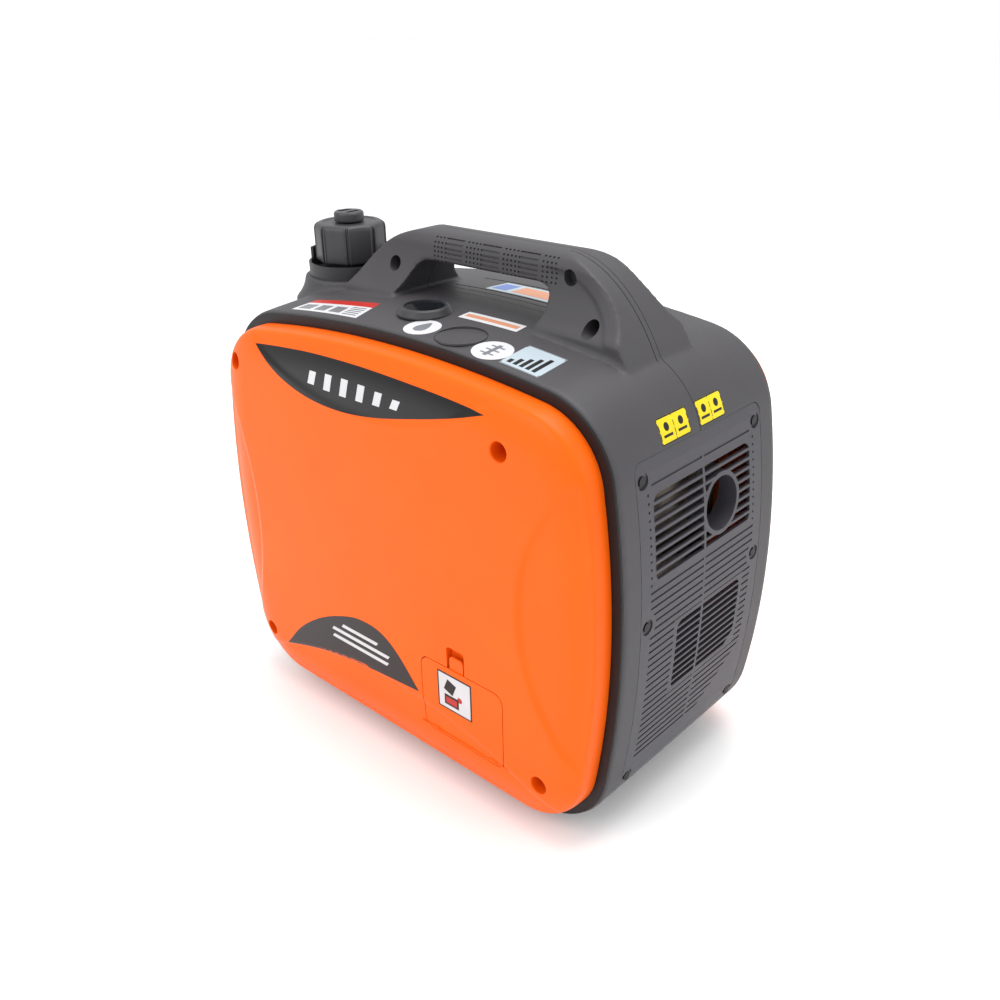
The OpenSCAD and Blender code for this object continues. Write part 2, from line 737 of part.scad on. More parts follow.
module eco_switch() {
    color("#c8c6c8") difference() {
        union() {
            slab_y(eco_at[0] - eco_size[0] / 2, eco_at[0] + eco_size[0] / 2) polygon([
                [control_x + 4, eco_at[1] - 7], [control_x - 1, eco_at[1] - eco_size[1] / 2 + 0.6],
                [control_x - 1.5, eco_at[1]], [control_x - 4.2, eco_at[1] + eco_size[1] / 2 - 1.2],
                [control_x + 4, eco_at[1] + 7]
            ]);
            rod_y(eco_pivot, eco_at[1], 1.2, eco_at[0] - eco_size[0] / 2 - move_gap,
                eco_at[0] + eco_size[0] / 2 + move_gap);
        }
    }
}
module breaker_button() {
    color("#b3241d") {
        rod_x(breaker_at[0], breaker_at[1], breaker_r, control_x - 4, control_x + 6);
        rod_x(breaker_at[0], breaker_at[1], breaker_r + 1.5, control_x + control_t, control_x + 6);
    }
}
module ground_terminal() {
    color("#c9b169") {
        rod_x(ground_at[0], ground_at[1], ground_r, control_x - 14, control_x + 12);
        translate([control_x - 5, ground_at[0], ground_at[1]]) rotate([0, 90, 0])
            cylinder(r = 7, h = 5, $fn = 6);
    }
}

// ---------------------------------------------------------------- base
module rubber_feet() {
    color("#1b1a1b") for (p = foot_at) {
        translate([p[0], p[1], 0]) cylinder(r1 = foot_r - 2, r2 = foot_r, h = bz);
        rod_z(p[0], p[1], foot_stem_r, bz - eps, bz + wall + tray_t);
    }
}
tray_t = 2.5;
tray_half_l = low_c[0] - 1;
tray_half_w = 100;
module base_tray() {
    color("#6d6f72") difference() {
        box([-tray_half_l, -tray_half_w, bz + wall], [tray_half_l, tray_half_w, bz + wall + tray_t]);
        for (p = foot_at) rod_z(p[0], p[1], foot_stem_r + loose_fit, 0, bz + wall + tray_t + 1);
    }
}
mount_z = bz + wall + tray_t;
mount_h = 24;
mount_at = [[-40, -62], [88, -62], [-40, 62], [88, 62]];
module engine_mounts() {
    color("#1b1a1b") for (p = mount_at) {
        rod_z(p[0], p[1], 12, mount_z, mount_z + mount_h);
        rod_z(p[0], p[1], 3, mount_z + mount_h - eps, mount_z + mount_h + 12);
    }
}

// ---------------------------------------------------------------- engine
case_z = mount_z + mount_h;
case_foot = 7;
shaft_z = bz + crank_z;
case_x1 = 98;
case_w = 58;
case_top = shaft_z + 58;
cylinder_x = 20;
bore_r = 24;
fin_half = 43;
throw_r = 36;
dipstick_at = [78, -case_w, bz + 88];
dipstick_r = 9;
neck_len = 22;
module crankcase() {
    color("#a9abad") difference() {
        union() {
            box([case_x0 - 8, -76, case_z], [case_x1 + 6, 76, case_z + case_foot]);
            box([case_x0, -case_w, case_z], [case_x1, case_w, case_top]);
            rod_x(0, shaft_z, 26, case_x0 - 10, case_x0 + 1);
            translate(dipstick_at) rotate([60, 0, 0]) cylinder(r = dipstick_r + 4, h = neck_len);
        }
        box([case_x0 + 6, -case_w + 6, case_z + 8], [case_x1 - 6, case_w - 6, case_top - 6]);
        rod_x(0, shaft_z, crank_r + run_fit, case_x0 - 12, case_x0 + 8);
        rod_x(0, shaft_z, crank_r + run_fit, case_x1 - 7, case_x1 - 3);
        rod_z(cylinder_x, 0, bore_r + 4 + loose_fit, case_top - 8, case_top + 1);
        translate(dipstick_at) rotate([60, 0, 0]) translate([0, 0, -14])
            cylinder(r = dipstick_r + run_fit, h = neck_len + 16);
        for (p = mount_at) rod_z(p[0], p[1], 3 + loose_fit, case_z - 1, case_z + case_foot + 8);
    }
}
module oil_dipstick() {
    color("#26262a") translate(dipstick_at) rotate([60, 0, 0]) difference() {
        union() {
            translate([0, 0, neck_len + 0.3]) cylinder(r = dipstick_r + 4, h = 9);
            translate([0, 0, neck_len + 9]) linear_extrude(8) round_rect([-12, -3], [12, 3], 2.9);
            cylinder(r = dipstick_r, h = neck_len + 1);
            translate([0, 0, -30]) cylinder(r = 2, h = 31);
        }
        for (a = [0 : 30 : 330]) rotate(a) translate([dipstick_r + 4.6, 0, neck_len])
            cylinder(r = 1.4, h = 10);
    }
}
crank_throw = 15;
module crankshaft() {
    color("#8f9296") {
        rod_x(0, shaft_z, crank_r, case_x0 - 62, cylinder_x - 24);
        rod_x(0, shaft_z, crank_r, cylinder_x + 24, case_x1 - 4);
        for (s = [-1, 1]) rod_x(0, shaft_z, throw_r, cylinder_x + s * 18 - 6, cylinder_x + s * 18 + 6);
        rod_x(0, shaft_z + crank_throw, 9, cylinder_x - 12.5, cylinder_x + 12.5);
    }
}
head_z = case_top + 66;
head_top = head_z + 30;
module cylinder_fins(z0, z1, count) {
    for (i = [0 : count - 1]) {
        z = z0 + (z1 - z0 - 2.4) * i / (count - 1);
        box([cylinder_x - fin_half, -fin_half, z], [cylinder_x + fin_half, fin_half, z + 2.4]);
    }
}
module cylinder_block() {
    color("#9da0a3") difference() {
        union() {
            rod_z(cylinder_x, 0, bore_r + 8, case_top, head_z);
            rod_z(cylinder_x, 0, bore_r + 4, case_top - 6, case_top + 1);
            cylinder_fins(case_top + 8, head_z, 8);
        }
        rod_z(cylinder_x, 0, bore_r, case_top - 8, head_z + 1);
    }
}
module piston() {
    color("#b8babd") difference() {
        rod_z(cylinder_x, 0, bore_r - 0.04, head_z - 40, head_z - 8);
        rod_z(cylinder_x, 0, bore_r - 4, head_z - 41, head_z - 14);
        rod_y(cylinder_x, head_z - 30, 6, -bore_r - 1, bore_r + 1);
    }
}
// The plug leans from the head towards the access opening in the top
plug_from = [cylinder_x + 20, -22, head_top];
plug_lean = 36;
plug_turn = -78;
plug_step = 9;
port_z = head_z + 15;
chamber_h = 8;
module along_plug() {
    translate(plug_from) rotate([0, plug_lean, plug_turn]) children();
}
module cylinder_head() {
    color("#9da0a3") difference() {
        union() {
            box([cylinder_x - 34, -30, head_z], [cylinder_x + 34, 30, head_top - 4]);
            cylinder_fins(head_z, head_top - 2, 5);
            box([cylinder_x - 40, 4, head_top - 6], [cylinder_x + 8, 34, head_top + 6]);
            along_plug() rotate(150) translate([0, 0, -6]) cylinder(r = 12, h = plug_step);
        }
        along_plug() rotate(150) translate([0, 0, -24]) cylinder(r = 5 + loose_fit, h = 40);
        along_plug() rotate(150) translate([0, 0, plug_step - 6]) cylinder(r = 14, h = 40);
        rod_y(cylinder_x, port_z, 9, 10, fin_half + 1);
        rod_x(0, port_z, 10, cylinder_x + 10, cylinder_x + fin_half + 1);
        rod_z(cylinder_x, 0, bore_r, head_z - 1, head_z + chamber_h);
    }
}
module spark_plug() {
    color("#dedbd2") along_plug() translate([0, 0, plug_step - 6]) {
        translate([0, 0, -15]) cylinder(r = 5, h = 16);
        cylinder(r = 9.2, h = 7, $fn = 6);
        cylinder(r = 6, h = 24);
        cylinder(r = 2.5, h = 30);
    }
}
boot_top = 52;
module plug_boot() {
    color("#1f1e20") along_plug() translate([0, 0, plug_step - 6]) difference() {
        union() {
            translate([0, 0, 10]) cylinder(r = 10, h = boot_top - 18);
            translate([0, 0, 20]) cylinder(r = 7.5, h = boot_top - 18);
        }
        translate([0, 0, 9]) cylinder(r = 6 + loose_fit, h = 15.1 + loose_fit);
        translate([0, 0, 20]) cylinder(r = 2.5 + loose_fit, h = 10.1 + loose_fit);
    }
}

// Intake on the rear side of the head
carb_y = fin_half;
carb_len = 42;
module carburettor() {
    color("#b3a98c") difference() {
        union() {
            rod_y(cylinder_x, port_z, 13, carb_y, carb_y + carb_len);
            box([cylinder_x - 18, carb_y + 10, port_z - 34], [cylinder_x + 18, carb_y + 34, port_z + 12]);
            rod_x(carb_y + 22, port_z - 8, 4, cylinder_x - 30, cylinder_x - 17);
        }
        rod_y(cylinder_x, port_z, 8, carb_y - 1, carb_y + carb_len + 1);
    }
}
module air_cleaner() {
    color("#343235") difference() {
        slab_y(carb_y + carb_len, full_half_w - 12) round_rect([-26, port_z - 78], [84, port_z + 24], 12);
        slab_y(carb_y + carb_len + 2, full_half_w - 14) round_rect([-24, port_z - 76], [82, port_z + 22], 10);
        rod_y(cylinder_x, port_z, 8, carb_y + carb_len - 1, carb_y + carb_len + 3);
        box([70, carb_y + carb_len + 8, port_z - 50], [85, full_half_w - 20, port_z - 40]);
    }
}

// Exhaust at the end of the body
muffler_x0 = 112;
muffler_x1 = 212;
muffler_half_w = 70;
muffler_z0 = bz + 214;
muffler_z1 = bz + 330;
outlet_r = 15;
outlet_len = 14;
module muffler() {
    color("#8a8176") difference() {
        union() {
            slab_x(muffler_x0, muffler_x1)
                round_rect([-muffler_half_w, muffler_z0], [muffler_half_w, muffler_z1], 24);
            rod_x(0, port_z, 12, cylinder_x + fin_half, muffler_x0 + 1);
            rod_x(exhaust_at[0], exhaust_at[1], outlet_r, muffler_x1 - 1, muffler_x1 + outlet_len);
        }
        slab_x(muffler_x0 + 1.5, muffler_x1 - 1.5)
            round_rect([-muffler_half_w + 1.5, muffler_z0 + 1.5],
                [muffler_half_w - 1.5, muffler_z1 - 1.5], 22.5);
        rod_x(0, port_z, 10, cylinder_x + fin_half - 1, muffler_x0 + 3);
        rod_x(exhaust_at[0], exhaust_at[1], outlet_r - 1.5, muffler_x1 - 3, muffler_x1 + outlet_len + 1);
    }
}
module spark_arrester() {
    color("#55504a") difference() {
        rod_x(exhaust_at[0], exhaust_at[1], outlet_r - 1.6, muffler_x1 + 2, muffler_x1 + outlet_len - 1);
        rod_x(exhaust_at[0], exhaust_at[1], outlet_r - 3, muffler_x1 + 4, muffler_x1 + outlet_len);
        for (a = [0 : 60 : 300])
            rod_x(exhaust_at[0] + 7 * cos(a), exhaust_at[1] + 7 * sin(a), 2, muffler_x1, muffler_x1 + 5);
    }
}
shield_gap = 7;
module heat_shield() {
    color("#b9babb") difference() {
        slab_x(muffler_x0 - 6, muffler_x1 - 6) difference() {
            round_rect([-muffler_half_w - shield_gap - 1, muffler_z0 - shield_gap - 1],
                [muffler_half_w + shield_gap + 1, muffler_z1 + shield_gap + 1], 26);
            round_rect([-muffler_half_w - shield_gap, muffler_z0 - shield_gap],
                [muffler_half_w + shield_gap, muffler_z1 + shield_gap], 25);
        }
    }
    color("#b9babb") for (y = [-1, 1])
        box([muffler_x0 + 30, min(y * muffler_half_w, y * (muffler_half_w + shield_gap)), shaft_z + 90],
            [muffler_x0 + 50, max(y * muffler_half_w, y * (muffler_half_w + shield_gap)), shaft_z + 110]);
    color("#b9babb") {
        box([muffler_x0 - 6, -20, case_z + case_foot], [muffler_x0 - 5, 20, muffler_z0 - shield_gap]);
        box([case_x1 + 0.5, -20, case_z + case_foot], [muffler_x0 - 5, 20, case_z + case_foot + 1]);
    }
}

// Flywheel, generator and cooling
cup_r = 56;
module flywheel_fan() {
    color("#3d4044") difference() {
        union() {
            rod_x(0, shaft_z, cup_r, rotor_x0, rotor_x1 - 6);
            rod_x(0, shaft_z, fan_r, rotor_x0 + 6, rotor_x0 + 9);
            for (a = [0 : 20 : 340]) translate([0, 0, shaft_z]) rotate([a, 0, 0])
                box([rotor_x0 - 6, cup_r - 8, -1.2], [rotor_x0 + 7, fan_r - 1, 1.2]);
        }
        rod_x(0, shaft_z, cup_r - 5, rotor_x0 + 10, rotor_x1);
        rod_x(0, shaft_z, crank_r, rotor_x0 - 1, rotor_x1);
    }
}
module stator() {
    color("#b06a34") difference() {
        union() {
            rod_x(0, shaft_z, cup_r - 16, rotor_x0 + 14, case_x0 - 10);
            for (a = [0 : 30 : 330]) translate([0, 0, shaft_z]) rotate([a, 0, 0])
                box([rotor_x0 + 16, cup_r - 20, -5], [rotor_x1 - 8, cup_r - 6.5, 5]);
        }
        rod_x(0, shaft_z, crank_r + 6, rotor_x0 + 13, case_x0 - 9);
    }
}
shroud_r = fan_r + 6;
module fan_shroud() {
    color("#2c2b2e") difference() {
        union() {
            rod_x(0, shaft_z, shroud_r, shroud_x0, case_x0);
            box([case_x0 - 12, -case_w, shaft_z - 50], [case_x0, case_w, case_top - 4]);
        }
        rod_x(0, shaft_z, shroud_r - 2.4, shroud_x0 - 1, case_x0 - 2.4);
        rod_x(0, shaft_z, 27, case_x0 - 4, case_x0 + 1);
        box([case_x0 - 2.5, -shroud_r, shaft_z + 40], [case_x0 + 1, shroud_r, shaft_z + 54]);
    }
}
recoil_r = rope_wind_r + 14;
pulley_half = 7;
post_r = 7;
module recoil_housing() {
    color("#2c2b2e") difference() {
        union() {
            difference() {
                rod_x(0, shaft_z, shroud_r, recoil_x0, shroud_x0);
                rod_x(0, shaft_z, recoil_r, recoil_x0 + 2.4, shroud_x0 + 1);
                for (a = [20 : 40 : 340])
                    rod_x(26 * cos(a), shaft_z + 26 * sin(a), 6, recoil_x0 - 1, recoil_x0 + 3);
            }
            rod_x(0, shaft_z, post_r, recoil_x0, pulley_x + pulley_half + 1.5);
            rod_x(0, shaft_z, post_r + 5, recoil_x0, pulley_x - pulley_half - 0.5);
        }
        box([pulley_x - 5, 20, shaft_z + rope_wind_r - 5],
            [pulley_x + 5, shroud_r + 1, shaft_z + rope_wind_r + 5]);
    }
}
module recoil_pulley() {
    color("#d8d4c8") difference() {
        rod_x(0, shaft_z, rope_wind_r + 4, pulley_x - pulley_half, pulley_x + pulley_half);
        difference() {
            rod_x(0, shaft_z, rope_wind_r + 5, pulley_x - 5.4, pulley_x + 5.4);
            rod_x(0, shaft_z, rope_wind_r - rope_r - 0.1, pulley_x - 6, pulley_x + 6);
        }
        rod_x(0, shaft_z, post_r + run_fit, pulley_x - pulley_half - 1, pulley_x + pulley_half + 1);
        for (a = [30 : 60 : 330]) rod_x(22 * cos(a), shaft_z + 22 * sin(a), 6, pulley_x - 8, pulley_x + 8);
    }
}
module rope_winding() {
    color("#191919") for (x = [-rope_r - 0.1, rope_r + 0.1]) translate([pulley_x + x, 0, shaft_z])
        rotate([0, 90, 0]) rotate_extrude($fn = 72) translate([rope_wind_r, 0]) circle(rope_r, $fn = 24);
}
rope_y0 = 24;
module starter_rope() {
    color("#191919") rod_y(grip_x, grip_z, rope_r, rope_y0, bezel_y + bezel_wall + 1);
}
grip_y0 = bezel_y + bezel_wall + 0.3;
grip_y1 = full_half_w - 2;
module starter_grip() {
    color("#2a292b") difference() {
        slab_y(grip_y0 + 4, grip_y1) round_rect([grip_x - grip_l / 2, grip_z - grip_h / 2],
            [grip_x + grip_l / 2, grip_z + grip_h / 2], 9);
        rod_y(grip_x, grip_z, rope_r + loose_fit, 0, bezel_y + bezel_wall + 1 + loose_fit);
    }
    color("#2a292b") difference() {
        rod_y(grip_x, grip_z, 11, grip_y0, grip_y0 + 5);
        rod_y(grip_x, grip_z, rope_r + loose_fit, 0, bezel_y + bezel_wall + 1 + loose_fit);
    }
}
module grip_bezel() {
    color("#2c2b2e") difference() {
        slab_y(bezel_y, full_half_w - 0.4) bezel_area(0);
        slab_y(bezel_y + bezel_wall, full_half_w + 1) bezel_area(-bezel_wall);
        rod_y(grip_x, grip_z, rope_r + 1, bezel_y - 1, full_half_w);
    }
}

// ---------------------------------------------------------------- electrics
module ignition_coil() {
    color("#232226") difference() {
        box([case_x0 - 40, -22, shaft_z + shroud_r - 4], [case_x0 - 10, 22, shaft_z + shroud_r + 26]);
        rod_x(0, shaft_z, shroud_r, case_x0 - 41, case_x0 - 9);
    }
}
lead_r = 3.2;
// Where the lead leaves the boot, along the plug's own lean
boot_way = [sin(plug_lean) * cos(plug_turn), sin(plug_lean) * sin(plug_turn), cos(plug_lean)];
boot_exit = plug_from + (plug_step - 6 + 20 + boot_top - 18) * boot_way;
module ignition_lead() {
    start = [case_x0 - 25, -22, shaft_z + shroud_r + 14];
    finish = boot_exit + 3 * boot_way;
    bend = [62, -92, head_top + 2];
    rise = [10, 2, 31];
    color("#1a1a1a") sweep(concat([start],
        bez(start - [0, 3, 0], start - [0, 78, 8], bend - 2 * rise - [0, 0, 10], bend, 12),
        bez(bend + rise / 8, bend + rise, finish + 26 * boot_way, finish, 10), [boot_exit]),
        lead_r, [1, 0.2, 0]);
}
// The inverter stands behind the sockets on a bracket that reaches the base tray
inverter_x0 = control_x + 34;
inverter_t = 32;
inverter_half_w = 84;
inverter_z0 = bz + 40;
inverter_z1 = bz + 230;
bracket_x1 = -150;
module inverter_module() {
    color("#8d9094") difference() {
        box([inverter_x0, -inverter_half_w, inverter_z0],
            [inverter_x0 + inverter_t, inverter_half_w, inverter_z1]);
        for (y = [-80 : 10 : 80])
            box([inverter_x0 + inverter_t - 6, y - 3, inverter_z0 - 1],
                [inverter_x0 + inverter_t + 1, y + 3, inverter_z1 + 1]);
    }
    color("#8d9094") {
        box([inverter_x0 + 8, -30, inverter_z0 - 6], [bracket_x1, 30, inverter_z0]);
        box([bracket_x1 - 8, -30, bz + wall + tray_t], [bracket_x1, 30, inverter_z0]);
    }
}

// ---------------------------------------------------------------- fuel system
tank_inset = 10;
tank_x0 = control_x + 12;
tank_x1 = 26;
tank_half_w = 98;
tank_z0 = bz + 340;
tank_wall = 1.5;
cap_roof = 4;
seal_h = 3;
module tank_form(d) {
    intersection() {
        slab_y(-tank_half_w + d, tank_half_w - d) polygon(outline(tank_inset + d));
        box([tank_x0 + d, -half_w, tank_z0 + d], [tank_x1 - d, half_w, top_z]);
    }
}
module fuel_tank() {
    color("#2a2a2c") difference() {
        union() {
            tank_form(0);
            rod_z(-filler_x, 0, neck_r, tower_base - 24, neck_top);
        }
        tank_form(tank_wall);
        rod_z(-filler_x, 0, neck_r - 2, tower_base - 40, neck_top + 1);
        rod_z(gauge_at[0], gauge_at[1], gauge_tube_r - 5, tank_z0 + 10, top_z + 10);
        rod_z(-60, 70, 4, tank_z0 - 1, tank_z0 + 3);
    }
}
neck_top = tray_top - 10 + cap_h - cap_roof - seal_h;
module drip_tray() {
    color("#343236") difference() {
        rod_z(-filler_x, 0, tray_r, tower_seat, tray_top);
        rod_z(-filler_x, 0, tray_r - 2.5, tower_seat + 3, tray_top + 1);
        rod_z(-filler_x, 0, neck_r + loose_fit, tower_seat - 1, tray_top + 1);
        // the rim drops on the side of the handle
        intersection() {
            translate([-filler_x, 0, tower_seat + 13]) rotate(-58) translate([0, -60, 0]) cube([60, 120, 60]);
            rod_z(-filler_x, 0, tray_r + 1, tower_seat + 13, tray_top + 1);
        }
    }
}
cap_z = tray_top - 10;
cap_top = cap_z + cap_h;
cap_wall = 3;
module fuel_cap() {
    color("#2d2c2e") difference() {
        translate([-filler_x, 0, 0]) {
            translate([0, 0, cap_z]) cylinder(r = cap_r, h = cap_h - 3, $fn = 96);
            translate([0, 0, cap_top - 3 - eps]) rotate_extrude($fn = 96)
                polygon([[0, 0], [cap_r, 0], [cap_r - 1, 2], [cap_r - 4, 3], [0, 3]]);
        }
        rod_z(-filler_x, 0, neck_r + 2.5, cap_z - 1, cap_top - cap_roof);
        difference() {
            rod_z(-filler_x, 0, cap_r - cap_wall, cap_z - 1, cap_z + 12);
            rod_z(-filler_x, 0, neck_r + 6, cap_z - 2, cap_z + 13);
        }
        rod_z(-filler_x, 0, 5 + run_fit, cap_z, cap_top + 1);
        for (a = [0 : 45 : 315], b = [-7, 7]) translate([-filler_x, 0, 0]) rotate(a + b)
            translate([cap_r + 1.2, 0, cap_z - 1]) cylinder(r = 2.2, h = cap_h - 4);
    }
}
seal_z = cap_top - cap_roof - seal_h;
module cap_seal() {
    color("#151515") difference() {
        rod_z(-filler_x, 0, neck_r + 2, seal_z + run_fit, cap_top - cap_roof - run_fit);
        rod_z(-filler_x, 0, 5 + loose_fit, seal_z - 1, cap_top);
    }
}
knob_h = 10;
module vent_knob() {
    color("#29282a") {
        rod_z(-filler_x, 0, knob_r, cap_top + 0.3, cap_top + knob_h);
        rod_z(-filler_x, 0, 5, cap_top - 3, cap_top + 1);
        box([-filler_x - knob_r - 2, -2, cap_top + 4], [-filler_x, 2, cap_top + knob_h]);
    }
}
ring_h = 7;
module gauge_ring() {
    color("#1c1b1d") difference() {
        union() {
            translate([gauge_at[0], gauge_at[1], gauge_z]) rotate_extrude($fn = 72) polygon([
                [0, 0], [gauge_r, 0], [gauge_r, 1.5], [gauge_r - 3, ring_h - 1],
                [gauge_r - 5, ring_h], [0, ring_h]
            ]);
            rod_z(gauge_at[0], gauge_at[1], gauge_tube_r, gauge_low, gauge_z + 1);
        }
        rod_z(gauge_at[0], gauge_at[1], gauge_tube_r - 1.5, gauge_z - 3, gauge_z + ring_h + 2);
        rod_z(gauge_at[0], gauge_at[1], 2.5, gauge_low - 1, gauge_z);
    }
}
gauge_low = shoulder_z(gauge_at[0]) - tank_inset + 0.3;
lens_z = gauge_z + 4;
module gauge_lens() {
    color("#22262c") rod_z(gauge_at[0], gauge_at[1], gauge_tube_r - 1.5 - 0.05, lens_z, lens_z + 2);
}
pointer_r = 1.2;
float_r = 11;
float_h = 12;
float_travel = 35;
float_low = gauge_low - 12 - float_travel - float_h;
module gauge_pointer() {
    color("#c43c2a") {
        box([gauge_at[0] - 1.5, gauge_at[1] - 2, gauge_z - 1],
            [gauge_at[0] + 13, gauge_at[1] + 2, gauge_z + 0.5]);
        rod_z(gauge_at[0], gauge_at[1], pointer_r, float_low - 1, gauge_z - 0.5);
    }
}
module gauge_float() {
    color("#d9d6cb") difference() {
        rod_z(gauge_at[0], gauge_at[1], float_r, float_low, float_low + float_h);
        rod_z(gauge_at[0], gauge_at[1], pointer_r + run_fit, float_low - 1, float_low + float_h + 1);
    }
}
module plug_access_cover() {
    color("#464448") {
        rod_z(access_at[0], access_at[1], access_r, access_z - access_seat + 0.02, access_z - 0.1);
        rod_z(access_at[0], access_at[1], access_r - 4.4, access_z - 7, access_z - access_seat + 0.1);
    }
}
module fuel_cock() {
    color("#8f9296") {
        rod_z(-60, 70, 8, tank_z0 - 22, tank_z0);
        rod_x(70, tank_z0 - 14, 4, -53, -40);
    }
}
module fuel_hose() {
    start = [-40, 70, tank_z0 - 14];
    finish = [cylinder_x - 30, carb_y + 22, port_z - 8];
    color("#1d1d1d") sweep(concat([start],
        bez(start + [2, 0, 0], start + [16, 0, 0], finish - [16, 0, 0], finish - [2, 0, 0], 12), [finish]),
        4.5, [0, 0, 1]);
}

body_shell_front();
body_shell_rear();
side_cover_front();
side_cover_rear();
cover_seals();
exhaust_grille();
control_panel();
rubber_feet();
base_tray();
handle_screws();
cover_screws();
grille_screws();
panel_screws();
fuel_tank();
drip_tray();
fuel_cap();
cap_seal();
vent_knob();
gauge_ring();
gauge_lens();
gauge_pointer();
gauge_float();
plug_access_cover();
oil_door();
oil_dipstick();
engine_mounts();
crankcase();
cylinder_block();  // cylinder
piston();
cylinder_head();
spark_plug();
plug_boot();
ignition_coil();
ignition_lead();
carburettor();
air_cleaner();
fuel_cock();
fuel_hose();
muffler();
spark_arrester();
heat_shield();
crankshaft();
flywheel_fan();
stator();
fan_shroud();
recoil_housing();
recoil_pulley();
rope_winding();
starter_rope();
starter_grip();
grip_bezel();
inverter_module();
ac_sockets();
socket_lid_front();
socket_lid_rear();
low_voltage_ports();
engine_switch();
eco_switch();
breaker_button();
ground_terminal();
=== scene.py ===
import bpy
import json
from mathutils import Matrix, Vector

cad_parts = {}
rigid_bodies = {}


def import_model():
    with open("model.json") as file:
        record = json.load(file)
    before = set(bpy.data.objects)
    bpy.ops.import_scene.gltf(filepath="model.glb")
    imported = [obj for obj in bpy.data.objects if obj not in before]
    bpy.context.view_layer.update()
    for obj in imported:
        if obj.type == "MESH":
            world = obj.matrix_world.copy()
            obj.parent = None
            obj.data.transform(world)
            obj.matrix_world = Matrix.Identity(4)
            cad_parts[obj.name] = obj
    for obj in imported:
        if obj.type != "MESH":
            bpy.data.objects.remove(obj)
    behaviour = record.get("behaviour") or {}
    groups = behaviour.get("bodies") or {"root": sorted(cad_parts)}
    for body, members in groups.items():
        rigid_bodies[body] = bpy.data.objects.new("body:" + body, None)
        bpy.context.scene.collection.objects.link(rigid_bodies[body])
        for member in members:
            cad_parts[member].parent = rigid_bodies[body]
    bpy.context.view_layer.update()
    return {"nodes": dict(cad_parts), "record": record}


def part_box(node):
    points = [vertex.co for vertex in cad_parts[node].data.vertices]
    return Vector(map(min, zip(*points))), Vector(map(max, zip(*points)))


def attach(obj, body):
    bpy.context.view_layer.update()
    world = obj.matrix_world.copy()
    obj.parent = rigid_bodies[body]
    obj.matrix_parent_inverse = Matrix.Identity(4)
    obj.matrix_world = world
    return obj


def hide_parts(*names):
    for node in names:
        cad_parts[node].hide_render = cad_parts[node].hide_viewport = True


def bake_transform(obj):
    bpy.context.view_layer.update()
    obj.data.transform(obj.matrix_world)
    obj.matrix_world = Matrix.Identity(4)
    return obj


bl_info = {
    "name": "Suitcase Generator",
    "version": (1, 0, 0),
    "blender": (4, 5, 0),
    "location": "3D View > Sidebar > Generator",
    "description": "Builds the outer pieces and finishes of a suitcase inverter generator",
    "category": "Add Mesh",
}

import json
import math

import bmesh
import bpy
import numpy as np
from bpy.props import FloatProperty, FloatVectorProperty, IntProperty, PointerProperty
from mathutils import Matrix, Vector
from mathutils.bvhtree import BVHTree

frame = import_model()
MM = 0.001


def mm(node, corner, axis):
    """One number of a CAD node's box, in millimetres."""
    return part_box(node)[corner][axis] / MM


# Sizes that the looks share with the frame, in millimetres
HALF_L = mm("body_shell_front", 1, 0)
HALF_W = -mm("body_shell_front", 0, 1)
FACE_Y = -mm("side_cover_front", 0, 1)
BASE_Z = mm("body_shell_front", 0, 2)
HANDLE_TOP = mm("body_shell_front", 1, 2)
BODY_H = 421.0
TOP_Z = BASE_Z + BODY_H
END_BOW, TOP_BOW, BOW_LEVEL = 27.0, 25.0, 204.0
CORNER_TOP, CORNER_LOW = 78.0, 77.0
CROWN = 6.0
GRIP_LOW = HANDLE_TOP - 26
LEG_W, GRIP_W = 92.0, 48.0
WALL, COVER_WALL = 3.0, 2.8
COVER_Y = HALF_W + 1.5
COVER_INSET = 11.0
COVER_OPENING = 18.0
SCREW_HOLE = 2.1
CAP_X = -186.0
TRAY_R, TOWER_SEAT, NECK_R = 44.0, TOP_Z + 3, 25.0
CAP_Z, CAP_TOP, CAP_R = TOP_Z + 17, TOP_Z + 54, 36.0
GAUGE = (-12.0, -65.0)
ACCESS = (57.0, -90.0)
ACCESS_R, GAUGE_R = 22.0, 25.0
PANEL_HALF = 92.0
COVER_SCREWS = [(-204, BASE_Z + 360), (146, BASE_Z + 360), (186, BASE_Z + 55), (-199, BASE_Z + 55)]
HANDLE_SCREWS = [(-89, TOP_Z + 30), (118, TOP_Z + 46), (151, TOP_Z + 12)]
DOOR = ((44.0, BASE_Z + 48), (145.0, BASE_Z + 129))
NOTCH = ((78.0, BASE_Z + 124), (100.0, BASE_Z + 153))
GRIP_X, GRIP_Z = -136.0, BASE_Z + 207.6


# ---------- outline of the body
TOP_R = (HALF_L ** 2 + TOP_BOW ** 2) / (2 * TOP_BOW)
END_R = (BODY_H ** 2 / 4 + END_BOW ** 2) / (2 * END_BOW)
TOP_C = Vector((0, TOP_Z - TOP_R))
END_C = Vector((HALF_L - END_R, BASE_Z + BOW_LEVEL))
LOW_C = Vector((
    END_C.x + math.sqrt((END_R - CORNER_LOW) ** 2 - (CORNER_LOW - BOW_LEVEL) ** 2),
    BASE_Z + CORNER_LOW,
))


def arc(centre, radius, start, end, count):
    """Points on an arc, without its first one."""
    return [
        centre + radius * Vector((math.cos(a), math.sin(a)))
        for a in (start + (end - start) * (i + 1) / count for i in range(count))
    ]


def heading(v):
    return math.atan2(v.y, v.x)


